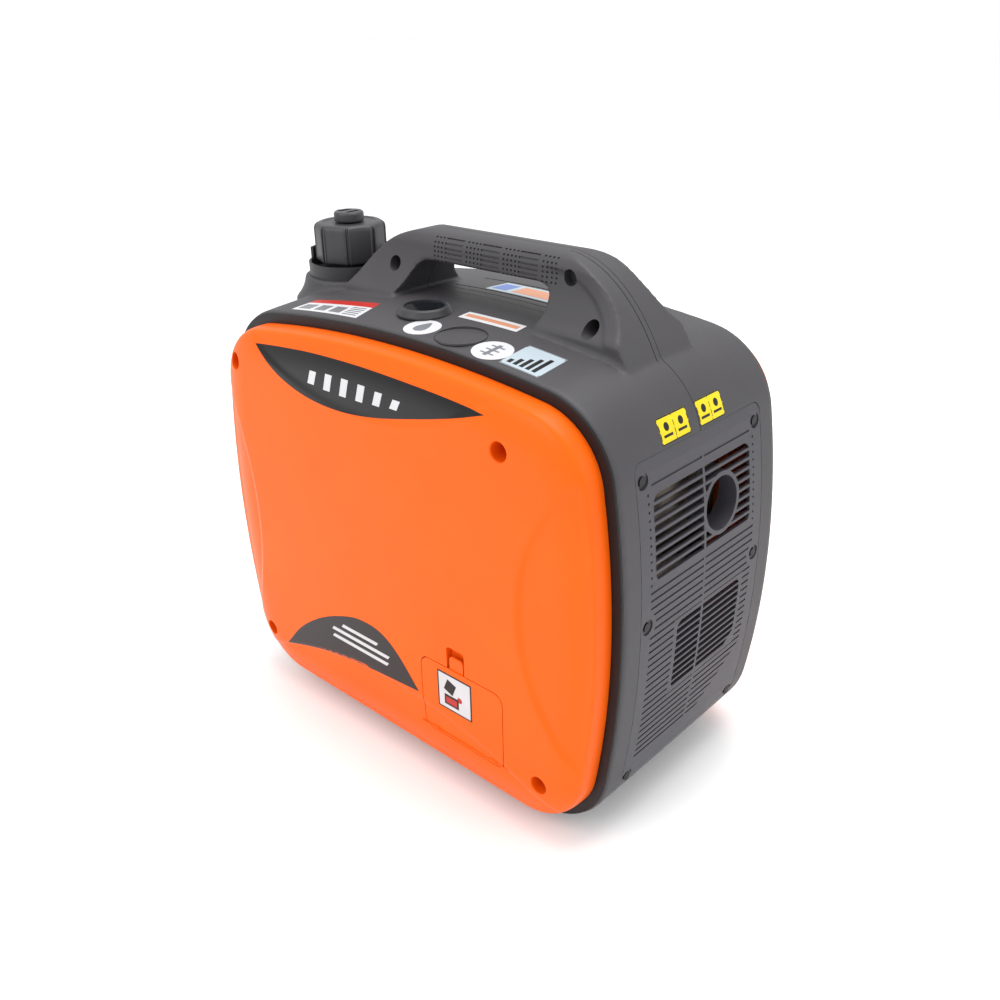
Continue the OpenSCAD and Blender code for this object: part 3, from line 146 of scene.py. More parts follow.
def outline(inset, up=0.0):
    """The body seen from the side, inset all round, with its top raised by up."""
    rp, rq = TOP_R + up - CORNER_TOP, END_R - CORNER_TOP
    d = (END_C - TOP_C).length
    a = (rp * rp - rq * rq + d * d) / (2 * d)
    u = (END_C - TOP_C) / d
    high_c = TOP_C + a * u + math.sqrt(rp * rp - a * a) * Vector((u.y, -u.x))
    a_low, a_high = heading(LOW_C - END_C), heading(high_c - END_C)
    a_top = heading(high_c - TOP_C)
    right = [Vector((x, BASE_Z + inset)) for x in (20.0, 70.0, 120.0, LOW_C.x)]
    right += arc(LOW_C, CORNER_LOW - inset, -math.pi / 2, a_low, 14)
    right += arc(END_C, END_R - inset, a_low, a_high, 22)
    right += arc(high_c, CORNER_TOP - inset, a_high, a_top, 18)
    right += arc(TOP_C, TOP_R + up - inset, a_top, math.radians(89.6), 18)
    return right + [Vector((-p.x, p.y)) for p in reversed(right)]


def crown_at(y):
    return CROWN * (1 - (y / HALF_W) ** 2)


def bezier(a, b, c, d, count):
    out = []
    for i in range(count + 1):
        t, s = i / count, 1 - i / count
        out.append(tuple(
            s ** 3 * p + 3 * s * s * t * q + 3 * s * t * t * r + t ** 3 * w
            for p, q, r, w in zip(a, b, c, d)
        ))
    return out


def rounded(low, high, radius):
    """A rectangle with rounded corners, anticlockwise."""
    centres = [
        (high[0] - radius, low[1] + radius, -90), (high[0] - radius, high[1] - radius, 0),
        (low[0] + radius, high[1] - radius, 90), (low[0] + radius, low[1] + radius, 180),
    ]
    points = []
    for x, y, start in centres:
        for turn in range(0, 91, 15):
            a = math.radians(start + turn)
            points.append((x + radius * math.cos(a), y + radius * math.sin(a)))
    return points


# ---------- mesh helpers
def along(u, v, w, axis):
    """A point of a drawing at depth w along an axis."""
    return {"x": (w, u, v), "y": (u, w, v), "z": (u, v, w)}[axis]


def prism(points, low, high, axis="y"):
    """A drawing extruded along an axis."""
    bm = bmesh.new()
    face = bm.faces.new([bm.verts.new(along(u, v, low, axis)) for u, v in points])
    grown = bmesh.ops.extrude_face_region(bm, geom=[face])["geom"]
    verts = [g for g in grown if isinstance(g, bmesh.types.BMVert)]
    bmesh.ops.translate(bm, verts=verts, vec=along(0, 0, high - low, axis))
    bmesh.ops.recalc_face_normals(bm, faces=bm.faces)
    return bm


def loft(rings):
    """Closed rings of equal count, bridged one to the next and capped."""
    bm = bmesh.new()
    loops = []
    for points in rings:
        verts = bmesh.ops.create_circle(bm, segments=len(points), radius=1)["verts"]
        for v, p in zip(verts, points):
            v.co = p
        loops.append(list({e for v in verts for e in v.link_edges}))
    for a, b in zip(loops, loops[1:]):
        bmesh.ops.bridge_loops(bm, edges=a + b)
    for loop in (loops[0], loops[-1]):
        bmesh.ops.contextual_create(bm, geom=loop)
    bmesh.ops.recalc_face_normals(bm, faces=bm.faces)
    return bm


def lathe(profile, centre, axis="z", segments=96):
    """A closed profile of (radius, height) pairs turned round an axis; its ends lie on the axis."""
    rings = []
    for r, h in profile:
        rings.append([
            along(centre[0] + r * math.cos(a), centre[1] + r * math.sin(a), h, axis)
            for a in (2 * math.pi * i / segments for i in range(segments))
        ])
    return loft(rings)


def rod(u, v, radius, low, high, axis="z", radius_high=None, segments=64):
    """A cylinder or cone along an axis."""
    top = radius if radius_high is None else radius_high
    return lathe([(radius, low), (top, high)], (u, v), axis, segments)


def block(a, b):
    """A box between two opposite corners."""
    bm = bmesh.new()
    a, b = Vector(a), Vector(b)
    size = [abs(d) for d in b - a]
    bmesh.ops.create_cube(bm, size=1, matrix=Matrix.Translation((a + b) / 2) @ Matrix.Diagonal((*size, 1)))
    return bm


def merged(parts):
    """Several meshes in one, each part used up."""
    whole = bmesh.new()
    for bm in parts:
        mesh = bpy.data.meshes.new("part")
        bm.to_mesh(mesh)
        bm.free()
        whole.from_mesh(mesh)
        bpy.data.meshes.remove(mesh)
    return whole


def rough_object(bm):
    mesh = bpy.data.meshes.new("rough")
    bm.to_mesh(mesh)
    bm.free()
    obj = bpy.data.objects.new("rough", mesh)
    bpy.context.scene.collection.objects.link(obj)
    return obj


def settle(obj):
    """Writes an object's modifiers into its mesh."""
    graph = bpy.context.evaluated_depsgraph_get()
    mesh = bpy.data.meshes.new_from_object(obj.evaluated_get(graph))
    old = obj.data
    obj.modifiers.clear()
    obj.data = mesh
    bpy.data.meshes.remove(old)


def discard(obj):
    mesh = obj.data
    bpy.data.objects.remove(obj)
    bpy.data.meshes.remove(mesh)


def mesh_of(obj):
    """An object's mesh as a part to join or cut with; the object is used up."""
    bm = bmesh.new()
    bm.from_mesh(obj.data)
    discard(obj)
    return bm


def carve(obj, parts, operation="DIFFERENCE"):
    """Cuts the parts from an object, or adds or intersects them, one after the other."""
    for bm in parts:
        tool = rough_object(bm)
        modifier = obj.modifiers.new("carve", "BOOLEAN")
        modifier.operation = operation
        modifier.solver = "MANIFOLD"
        modifier.object = tool
        settle(obj)
        discard(tool)


def fuse(parts, voxel, passes):
    """Melts overlapping parts into one moulded form with soft inner corners."""
    obj = rough_object(merged(parts))
    melt = obj.modifiers.new("melt", "REMESH")
    melt.mode = "VOXEL"
    melt.voxel_size = voxel
    soften = obj.modifiers.new("soften", "SMOOTH")
    soften.factor = 0.5
    soften.iterations = passes
    settle(obj)
    return obj


def copy_of(obj):
    twin = bpy.data.objects.new("rough", obj.data.copy())
    bpy.context.scene.collection.objects.link(twin)
    return twin


def finish_piece(obj, name, body, slot, replaces=(), finishes=None, sharp=32):
    """Scales a piece from millimetres, shades it, and hands it to its body.
    A piece that blends between two bodies has none of its own."""
    obj.name = obj.data.name = name
    obj.data.transform(Matrix.Scale(MM, 4))
    obj.data.shade_smooth()
    obj.data.set_sharp_from_angle(angle=math.radians(sharp))
    faces = obj.data.polygons
    kept = [0] * len(faces)
    faces.foreach_get("material_index", kept)
    obj.data.materials.clear()
    for key in finishes or [slot]:
        obj.data.materials.append(FINISHES[key])
    faces.foreach_set("material_index", kept)
    if body:
        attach(obj, body)
    if replaces:
        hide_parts(*replaces)
    return obj


def surface_of(*objects):
    """A search tree over finished pieces, in millimetres."""
    verts, faces = [], []
    for obj in objects:
        start = len(verts)
        verts += [v.co / MM for v in obj.data.vertices]
        faces += [[start + i for i in p.vertices] for p in obj.data.polygons]
    return BVHTree.FromPolygons(verts, faces)


# ---------- finishes
def linear(code):
    """An sRGB hex colour as linear RGBA."""
    parts = [int(code[i:i + 2], 16) / 255 for i in (1, 3, 5)]
    return [c / 12.92 if c <= 0.04045 else ((c + 0.055) / 1.055) ** 2.4 for c in parts] + [1.0]


def add(tree, kind, inputs=(), **settings):
    """Adds a node with its settings, and links or sets its inputs."""
    node = tree.nodes.new("ShaderNode" + kind)
    for key, value in settings.items():
        setattr(node, key, value)
    for key, value in dict(inputs).items():
        if isinstance(value, bpy.types.NodeSocket):
            tree.links.new(value, node.inputs[key])
        else:
            node.inputs[key].default_value = value
    return node


def finish(name, colour, roughness, grain, depth, shade, metallic=0.0, spread=0.05, mottle=30.0,
           stretch=(1, 1, 1), shader=None):
    """A finish with fine relief of a grain size, cloudy colour over the mottle size, and uneven gloss.
    Sizes are in millimetres; shade is how much darker the cloud's dark side is."""
    material = bpy.data.materials.new(name)
    material.use_nodes = True
    tree = material.node_tree
    tree.nodes.clear()
    where = add(tree, "TexCoord").outputs["Object"]
    placed = add(tree, "Mapping", {"Vector": where, "Scale": stretch}).outputs["Vector"]
    fine, cloud = (
        add(tree, "TexNoise", {"Vector": placed, "Scale": scale, "Detail": detail, "Roughness": 0.6})
        for scale, detail in ((1 / (grain * MM), 3.0), (1 / (mottle * MM), 4.0))
    )
    base = (linear(colour) if isinstance(colour, str) else colour)[:3]
    dark = [c * (1 - shade) for c in base] + [1.0]
    light = [min(1.0, c * (1 + shade * 0.6)) for c in base] + [1.0]
    ramp = add(tree, "ValToRGB", {"Fac": cloud.outputs["Fac"]})
    ramp.color_ramp.elements[0].position = 0.3
    ramp.color_ramp.elements[0].color = dark
    ramp.color_ramp.elements[1].position = 0.7
    ramp.color_ramp.elements[1].color = light
    gloss = add(tree, "MapRange", {
        "Value": fine.outputs["Fac"], "From Min": 0.3, "From Max": 0.7,
        "To Min": max(0.02, roughness - spread), "To Max": min(1.0, roughness + spread),
    })
    bump = add(tree, "Bump", {"Height": fine.outputs["Fac"], "Distance": depth * MM, "Strength": 1.0})
    inputs = {
        "Base Color": ramp.outputs["Color"], "Roughness": gloss.outputs["Result"],
        "Metallic": metallic, "Normal": bump.outputs["Normal"],
    }
    inputs.update(shader or {})
    bsdf = add(tree, "BsdfPrincipled", inputs)
    add(tree, "OutputMaterial", {"Surface": bsdf.outputs["BSDF"]})
    return material


FINISHES = {}


def make_finishes(colours):
    """Fills FINISHES. A row is the real material's name, its colour and roughness, the grain's size and depth
    in millimetres, the shade, and whatever else differs."""
    low_gloss = {"Specular IOR Level": 0.25}
    table = {
        # Glass-filled ABS moulded against a spark-eroded tool: an even charcoal with a fine matt grain.
        # The real grain is about 0.3 mm; it is drawn at 0.9 mm so that it shows.
        "shell_plastic": ("moulded charcoal ABS", colours.shell_rgb, 0.56, 0.9, 0.035, 0.07,
                          {"spread": 0.07, "mottle": 60}),
        # ABS coloured in the mass and moulded against a satin tool: smooth, with a soft wide highlight
        "cover_plastic": ("satin orange ABS", colours.cover_rgb, 0.36, 1.6, 0.008, 0.05,
                          {"spread": 0.04, "mottle": 90, "shader": {"Specular IOR Level": 0.15}}),
        # The same nylon as the trim, left smooth and slightly oily
        "frame_plastic": ("smooth black nylon", "#181718", 0.42, 2.0, 0.01, 0.08, {"shader": low_gloss}),
        # Polypropylene with mineral filler: greyer and a little bluer than the shell
        "grille_plastic": ("moulded grey polypropylene", colours.grille_rgb, 0.52, 0.9, 0.03, 0.08,
                           {"spread": 0.07, "mottle": 50}),
        # ABS moulded against a fine leather-grained tool: an even dull grey
        "panel_plastic": ("textured panel ABS", "#37363A", 0.5, 0.7, 0.03, 0.08, {}),
        # Trim moulded in black nylon: nearly black with a dull sheen
        "trim_plastic": ("black moulded nylon", "#28272A", 0.48, 0.8, 0.025, 0.1, {}),
        # Polyethylene moulded in a coarser tool: black, a little waxy
        "cap_plastic": ("black cap polyethylene", "#313034", 0.46, 1.1, 0.03, 0.1, {}),
        # Compression-moulded thermoset: hard and glossy, nearly black
        "socket_plastic": ("glossy thermoset", "#1F1E21", 0.28, 2.0, 0.01, 0.08, {}),
        # ABS coloured in the mass, from polished tools: bright and shiny
        "knob_plastic": ("orange knob ABS", "#D2521D", 0.34, 1.4, 0.01, 0.06, {}),
        "button_plastic": ("red button ABS", "#B3241D", 0.3, 1.4, 0.01, 0.06, {}),
        "rocker_plastic": ("pale rocker ABS", "#C8C6C8", 0.34, 1.4, 0.01, 0.05, {}),
        "pointer_red": ("red pointer ABS", "#C43C2A", 0.35, 1.2, 0.01, 0.06, {}),
        # Blow-moulded polyethylene: waxy, slightly rippled
        "tank_plastic": ("blow-moulded polyethylene", "#2A2A2C", 0.42, 9.0, 0.2, 0.12, {}),
        # Moulded nitrile rubber: dull, dusty black
        "rubber": ("moulded nitrile rubber", "#1C1B1C", 0.78, 0.8, 0.03, 0.2, {"mottle": 18}),
        # Zinc plate under black passivation: dark metal with a little shine. The colour is also pushed near
        # black as painted shade, so the nearly flush screw heads look like the dark holes they sit in
        "black_screw": ("black passivated steel", "#111112", 0.5, 0.5, 0.01, 0.2,
                        {"metallic": 0.5, "mottle": 4}),
        # Pressure die casting: a grey metal skin with small flow marks
        "cast_aluminium": ("die-cast aluminium", "#9C9EA1", 0.46, 1.2, 0.05, 0.18,
                           {"metallic": 1.0, "spread": 0.12, "mottle": 14}),
        # Turned and ground steel: streaks round the axis drawn out along X
        "machined_steel": ("ground steel", "#8F9296", 0.27, 0.6, 0.008, 0.12,
                           {"metallic": 1.0, "spread": 0.1, "stretch": (0.2, 1, 1)}),
        # Pressed steel that has been hot: brown and straw clouds
        "sheet_steel": ("heat-stained sheet steel", "#8A8176", 0.42, 1.5, 0.02, 0.35,
                        {"metallic": 1.0, "spread": 0.12, "mottle": 24}),
        # Rolled aluminium: bright, with fine lines along the rolling direction
        "shield_sheet": ("rolled aluminium sheet", "#B9BABB", 0.33, 0.7, 0.01, 0.12,
                         {"metallic": 1.0, "spread": 0.1, "stretch": (1, 0.15, 1)}),
        # Enamelled copper wire: warm metal with fine parallel strands
        "copper_winding": ("enamelled copper wire", "#A85F2E", 0.35, 0.8, 0.15, 0.25,
                           {"metallic": 0.9, "stretch": (1, 0.1, 0.1), "mottle": 8}),
        # Turned brass: yellow metal with small tool marks
        "terminal_brass": ("turned brass", "#C9B169", 0.26, 0.5, 0.01, 0.15, {"metallic": 1.0, "mottle": 6}),
        # Fired alumina under a clear glaze: white and wet-looking
        "plug_ceramic": ("glazed plug ceramic", "#DEDBD2", 0.12, 2.0, 0.005, 0.04, {}),
        # Unpigmented nylon: milky ivory with a soft sheen
        "pulley_plastic": ("natural nylon", "#D3CEC0", 0.45, 1.2, 0.02, 0.08, {}),
        # Smoked acrylic: nearly black, mirror smooth
        "lens": ("smoked acrylic", "#15181C", 0.08, 6.0, 0.002, 0.1,
                 {"spread": 0.02, "shader": {"IOR": 1.49, "Coat Weight": 0.4}}),
        # Closed-cell foam, cut from a block: pale and powdery with open pores
        "float_foam": ("nitrile foam", "#C9C3B2", 0.85, 1.4, 0.2, 0.12, {"mottle": 8}),
    }
    # Screen-printed vinyl: flat colours under a clear film
    prints = {
        "label_white": "#C9C9CC", "label_red": "#B3251D", "label_grey": "#6E7076",
        "label_pale": "#A9B6BE", "label_yellow": "#DCC708", "label_black": "#0D0C0D",
        "label_blue": "#5A73B4", "label_peach": "#C48463",
        "decal_black": "#0B0A0B", "decal_grey": "#1A191B",
    }
    for key, colour in prints.items():
        rough = 0.24 if key.startswith("decal") else 0.36
        table[key] = ("printed vinyl " + key, colour, rough, 2.5, 0.004, 0.04,
                      {"spread": 0.03, "shader": {"Specular IOR Level": 0.3}})
    for key, (*row, more) in table.items():
        FINISHES[key] = finish(*row, **more)


# ---------- sizes and colours that a user would change
class GeneratorColours(bpy.types.PropertyGroup):
    shell_rgb: FloatVectorProperty(name="Body", description="Colour of the two body shells",
                                   subtype="COLOR", size=4, default=linear("#39373A"))
    cover_rgb: FloatVectorProperty(name="Side covers", description="Colour of the covers and the oil door",
                                   subtype="COLOR", size=4, default=linear("#EE5E08"))
    grille_rgb: FloatVectorProperty(name="Grille", description="Colour of the exhaust grille",
                                    subtype="COLOR", size=4, default=linear("#38363C"))


class GeneratorSizes(bpy.types.PropertyGroup):
    edge_radius: FloatProperty(name="Shell edge", description="Radius of the shell's edge round a side cover",
                               default=2.5 * MM, min=MM, max=8 * MM, unit="LENGTH")
    step: FloatProperty(name="Surface step", description="Mesh size of the large moulded pieces",
                        default=2.0 * MM, min=MM, max=5 * MM, unit="LENGTH")
    seam: FloatProperty(name="Seam", description="Gap between the two body shells",
                        default=0.6 * MM, min=0.1 * MM, max=2 * MM, unit="LENGTH")
    relief: FloatProperty(name="Cover relief", description="Depth of the step round a cover's middle panel",
                          default=3.0 * MM, min=0.0, max=4 * MM, unit="LENGTH")
    slot_rows: IntProperty(name="Grip rows", description="Rows of slots on each side of the grip",
                           default=6, min=0, max=8)


class GeneratorStage(bpy.types.PropertyGroup):
    floor: FloatProperty(name="Floor", description="Width of the floor", default=40.0, min=2.0, unit="LENGTH")
    key_power: FloatProperty(name="Key light", description="Power of the key light", default=24.0, min=0.0,
                             unit="POWER")


def points_of(obj):
    co = np.empty(len(obj.data.vertices) * 3)
    obj.data.vertices.foreach_get("co", co)
    return co.reshape(-1, 3)


def place_points(obj, co):
    obj.data.vertices.foreach_set("co", co.ravel())
    obj.data.update()


def ease(t):
    """A smooth step from 0 to 1."""
    t = np.clip(t, 0, 1)
    return t * t * (3 - 2 * t)


# ---------- body shells
HANDLE_SIDE = (
    [(-150, TOP_Z - 30)]
    + bezier((-150, TOP_Z - 6), (-128, TOP_Z + 41), (-92, HANDLE_TOP), (-45, HANDLE_TOP), 20)
    + bezier((100, HANDLE_TOP), (140, HANDLE_TOP - 1), (178, TOP_Z + 29), (200, TOP_Z - 25), 24)
    + [(200, TOP_Z - 40)]
)
HAND_HOLE = (
    [(-86, TOP_Z - 32)]
    + bezier((-78, TOP_Z + 3), (-69, TOP_Z + 17), (-65, GRIP_LOW), (-44, GRIP_LOW), 16)
    + bezier((82, GRIP_LOW), (97, GRIP_LOW), (100, GRIP_LOW - 8), (96, TOP_Z + 8), 12)
    + [(95, TOP_Z - 32)]
)


def handle_front():
    half = LEG_W / 2
    right = (
        [(0, TOP_Z - 40), (half, TOP_Z - 40), (half, TOP_Z + 4)]
        + bezier((half - 1, TOP_Z + 7), (GRIP_W / 2 + 10, TOP_Z + 14), (GRIP_W / 2 + 2, GRIP_LOW - 10),
                 (GRIP_W / 2, GRIP_LOW + 8), 12)
        + bezier((GRIP_W / 2, GRIP_LOW + 14), (GRIP_W / 2 - 1, HANDLE_TOP - 4), (GRIP_W / 2 - 8, HANDLE_TOP),
                 (0, HANDLE_TOP), 12)
    )
    return right + [(-y, z) for y, z in reversed(right[1:-1])]


def handle_form():
    obj = rough_object(prism(HANDLE_SIDE, -LEG_W / 2 - 1, LEG_W / 2 + 1))
    carve(obj, [prism(HAND_HOLE, -LEG_W, LEG_W)])
    carve(obj, [prism(handle_front(), -160, 210, "x")], "INTERSECT")
    return mesh_of(obj)


def shell_form(radius):
    """The closed body form across its width, with rounded edges."""
    stations = []
    for a in (90, 72, 54, 36, 18, 0):
        t = radius * (1 - math.sin(math.radians(a)))
        stations.append((HALF_W - t, radius - math.sqrt(max(0.0, radius ** 2 - (radius - t) ** 2))))
    stations += [(y, 0.0) for y in (96, 80, 64, 48, 32, 16)]
    levels = [(-y, d) for y, d in stations] + [(0.0, 0.0)] + [(y, d) for y, d in reversed(stations)]
    return loft([[(p.x, y, p.y) for p in outline(d, crown_at(y))] for y, d in levels])


def tower_form():
    """The flared seat of the drip tray, without the part beyond the body's end."""
    profile = [(TRAY_R + 16, TOP_Z - 80), (TRAY_R + 16, TOP_Z - 20)]
    profile += bezier((TRAY_R + 16, TOP_Z - 20), (TRAY_R + 9, TOP_Z - 14), (TRAY_R + 5.5, TOWER_SEAT - 8),
                      (TRAY_R + 4.5, TOWER_SEAT), 10)[1:]
    obj = rough_object(lathe(profile, (CAP_X, 0)))
    carve(obj, [block((CAP_X - TRAY_R - 4, -100, 300), (60, 100, 500))], "INTERSECT")
    return mesh_of(obj)


FLANK_DEPTH = 2.0


def press_flanks(obj):
    """Sinks the handle's flanks inside a ridge that follows its outer edge."""
    co = points_of(obj)
    edge = np.array([p for p in HANDLE_SIDE if p[0] > 95])
    x, z = co[:, 0], co[:, 2]
    away = np.full(len(co), 1e9)
    for a, b in zip(edge, edge[1:]):
        t = np.clip(((x - a[0]) * (b - a)[0] + (z - a[1]) * (b - a)[1]) / ((b - a) @ (b - a)), 0, 1)
        away = np.minimum(away, np.hypot(x - a[0] - t * (b - a)[0], z - a[1] - t * (b - a)[1]))
    above = TOP_C.y + np.sqrt(TOP_R ** 2 - x ** 2) + CROWN
    side, out = np.sign(co[:, 1]), np.abs(co[:, 1])
    amount = ease((away - 11) / 4) * ease((z - above - 5) / 9) * ease((x - 88) / 14) * ease((out - 12) / 6)
    co[:, 1] -= side * FLANK_DEPTH * amount
    place_points(obj, co)


def grip_slots(whole, rows):
    """Long slots in three groups between four groups of dots, on both sides of the grip."""
    mesh = whole.data
    tree = BVHTree.FromPolygons([v.co for v in mesh.vertices], [p.vertices for p in mesh.polygons])
    parts = {-1: [], 1: []}
    width, sunk, dot = 1.7, 1.2, 1.1
    runs = [(-26, -4), (18, 40), (62, 84)]
    dots = [start + step for start in (-40, 0, 44, 88) for step in (1.5, 6, 10.5, 15)]
    marks = runs + [(x - dot, x + dot) for x in dots if not any(a - 2 < x < b + 2 for a, b in runs)]
    for side in (-1, 1):
        for i in range(rows):
            z = GRIP_LOW + 1.0 + (HANDLE_TOP - GRIP_LOW - 5.5) * i / max(1, rows - 1)
            for x0, x1 in marks:
                hit, normal = tree.ray_cast(Vector(((x0 + x1) / 2, side * 200, z)), Vector((0, -side, 0)))[:2]
                along_x = (Vector((1, 0, 0)) - normal * normal.x).normalized()
                turn = Matrix((along_x, normal, along_x.cross(normal))).transposed().to_4x4()
                size = Matrix.Diagonal((x1 - x0, 2 * sunk, width, 1))
                bm = bmesh.new()
                bmesh.ops.create_cube(bm, size=1, matrix=Matrix.Translation(hit) @ turn @ size)
                parts[side].append(bm)
    return parts


class GENERATOR_OT_shells(bpy.types.Operator):
    """Build the two body shells with the carrying handle and the filler tower"""
    bl_idname = "generator.shells"
    bl_label = "Body shells"

    def execute(self, context):
        sizes = context.scene.generator_sizes
        whole = fuse([shell_form(sizes.edge_radius / MM), handle_form(), tower_form()], sizes.step / MM, 7)
        press_flanks(whole)
        slots = grip_slots(whole, sizes.slot_rows)
        y = PANEL_HALF + 0.5
        carve(whole, [
            prism(rounded((-y, BASE_Z + 29.5), (y, BASE_Z + 356.5), 9), 221, 252, "x"),
            prism(rounded((-y, BASE_Z + 61.5), (y, BASE_Z + 350.5), 12), -252, -220, "x"),
            rod(CAP_X, 0, TRAY_R + 0.5, TOWER_SEAT, TOP_Z + 80),
            rod(CAP_X, 0, NECK_R, TOP_Z - 60, TOP_Z + 80),
            rod(*GAUGE, GAUGE_R - 4.5, TOP_Z - 30, TOP_Z + 30),
            rod(*GAUGE, GAUGE_R + 0.1, mm("gauge_lens", 0, 2) - 4, TOP_Z + 30),
            rod(*ACCESS, ACCESS_R - 4, TOP_Z - 30, TOP_Z + 30),
            rod(*ACCESS, ACCESS_R + 0.5, mm("plug_access_cover", 1, 2) - 1.5, TOP_Z + 30),
            # stepped channels along the top behind the handle
            block((-60, 12, TOP_Z + 3.5), (96, 13.2, TOP_Z + 12)),
            block((-60, 22, TOP_Z + 2.8), (96, 24, TOP_Z + 12)),
            block((-60, 62, TOP_Z + 1.0), (96, 64, TOP_Z + 12)),
        ])
        for side, end in ((-1, "front"), (1, "rear")):
            half = copy_of(whole)
            carve(half, [block((-260, side * sizes.seam / MM / 2, 0), (260, side * 150, 520))], "INTERSECT")
            # the hollow inside, and the opening behind the side cover
            carve(half, [
                loft([[(p.x, side * y, p.y) for p in outline(WALL, crown_at(y))]
                      for y in (-2.0, 20.0, 45.0, 70.0, 90.0, HALF_W - WALL)]),
                prism(outline(COVER_OPENING), side * (HALF_W - 6), side * (HALF_W + 3)),
            ])
            if side < 0:
                cuts = []
                for x, z in HANDLE_SCREWS:
                    cuts += [rod(x, z, 7, -60, -14, "y"), rod(x, z, SCREW_HOLE, -15, 0, "y", segments=24)]
                # a fine groove that runs beside the seam down the handle's right leg
                ridge = [(x, z) for x, z in HANDLE_SIDE if x > 102]
                band = [(x, z + 3) for x, z in ridge] + [(x - 0.6, z - 0.9) for x, z in reversed(ridge)]
                carve(half, cuts + [prism(band, -6.8, -6.0)])
            carve(half, [merged(slots[side])])
            finish_piece(half, "shell_" + end, "housing", "shell_plastic", ("body_shell_" + end,))
            # a dark smooth frame round the side cover
            strip = rough_object(loft([
                [(p.x, side * y, p.y) for p in outline(inset)]
                for y, inset in ((HALF_W - 0.6, 1.6), (HALF_W + 0.9, 1.6), (HALF_W + 1.5, 2.2))
            ]))
            carve(strip, [prism(outline(COVER_INSET - 0.5), side * (HALF_W - 4), side * (HALF_W + 4))])
            finish_piece(strip, "cover_frame_" + end, "housing", "trim_plastic", finishes=["frame_plastic"])
        discard(whole)
        return {"FINISHED"}


# ---------- side covers
def circle_through(a, b, c):
    """Centre and radius of the circle through three points."""
    (ax, ay), (bx, by), (cx, cy) = a, b, c
    aa, bb, cc = ax ** 2 + ay ** 2, bx ** 2 + by ** 2, cx ** 2 + cy ** 2
    d = 2 * (ax * (by - cy) + bx * (cy - ay) + cx * (ay - by))
    x = (aa * (by - cy) + bb * (cy - ay) + cc * (ay - by)) / d
    y = (aa * (cx - bx) + bb * (ax - cx) + cc * (bx - ax)) / d
    return x, y, math.hypot(ax - x, ay - y)


# Arcs that bound the middle panel, each through three points (x, z above the underside), with the
# width of its step, the step's share of the relief and the fall beyond it
ARCS = [
    ((204, 338), (160, 212), (215, 93), 7, 1.0, 0.02),
    ((-218, 324), (-192.5, 206), (-213, 88), 6, 0.75, 0.04),
    ((-187, 43), (5, 80), (200, 35), 5, 0.6, 0.03),
    ((-168, 384), (-40, 346), (132, 389), 7, 0.4, 0.012),
]
FACE_SET = 0.6  # the middle panel lies this far behind the full width, which leaves room for the decals


def relief_at(x, z, depth):
    """How far the cover's face lies behind its middle panel."""
    total = np.zeros_like(x)
    for a, b, c, width, share, fall in ARCS:
        cx, cz, radius = circle_through(a, b, c)
        t = radius - np.hypot(x - cx, z - BASE_Z - cz)
        total = total + depth * share * ease(t / width) + fall * np.clip(t - width, 0, None)
    return total


# The cover's rolled rim: distance from the middle of the machine, and inset from the cover's edge
RIM = [
    (COVER_Y, 0.0), (121, 0.15), (127, 0.5), (132.5, 1.2), (135.8, 2.6), (138.2, 5.2), (140.2, 9.0),
    (141.8, 13.0), (142.9, 17.0), (143.7, 21.0), (144.4, 25.5), (144.8, 29.5), (FACE_Y, 33),
]


def cover_form(side, shrink, voxel, depth):
    """The closed form of a cover, shrunk on every side, with the relief pressed into its face."""
    rings = []
    for y, inset in RIM:
        # the first ring lies further in, where the melted edge is cut away later
        y = y - shrink if y > COVER_Y else y - 8
        rings.append([(p.x, side * y, p.y) for p in outline(COVER_INSET + inset + shrink)])
    obj = fuse([loft(rings)], voxel, 2)
    co = points_of(obj)
    share = ease((side * co[:, 1] + shrink - 134) / 8)
    co[:, 1] -= side * share * (FACE_SET + relief_at(co[:, 0], co[:, 2], depth))
    place_points(obj, co)
    return obj


def cover_solid(side, sizes):
    """One side cover: a thin shell with its screw bosses and their stepped holes."""
    voxel, depth = sizes.step / MM, sizes.relief / MM
    outer = cover_form(side, 0, voxel, depth)
    inner = cover_form(side, COVER_WALL, 2 * voxel, depth)
    carve(inner, [rod(x, z, 10.5, side * 100, side * FACE_Y, "y") for x, z in COVER_SCREWS])
    # the rim's back face lies on the seal
    carve(outer, [mesh_of(inner), block((-260, side * 90, 0), (260, side * COVER_Y, 480))])
    seat = COVER_Y + 5
    for x, z in COVER_SCREWS:
        carve(outer, [
            rod(x, z, 8.5, side * seat, side * (FACE_Y + 2), "y"),
            rod(x, z, SCREW_HOLE, side * 100, side * (seat + 1), "y", segments=24),
            rod(x, z, 8.4, side * (FACE_Y - 1.6), side * (FACE_Y + 1.4), "y", 11.4),
        ])
    return outer


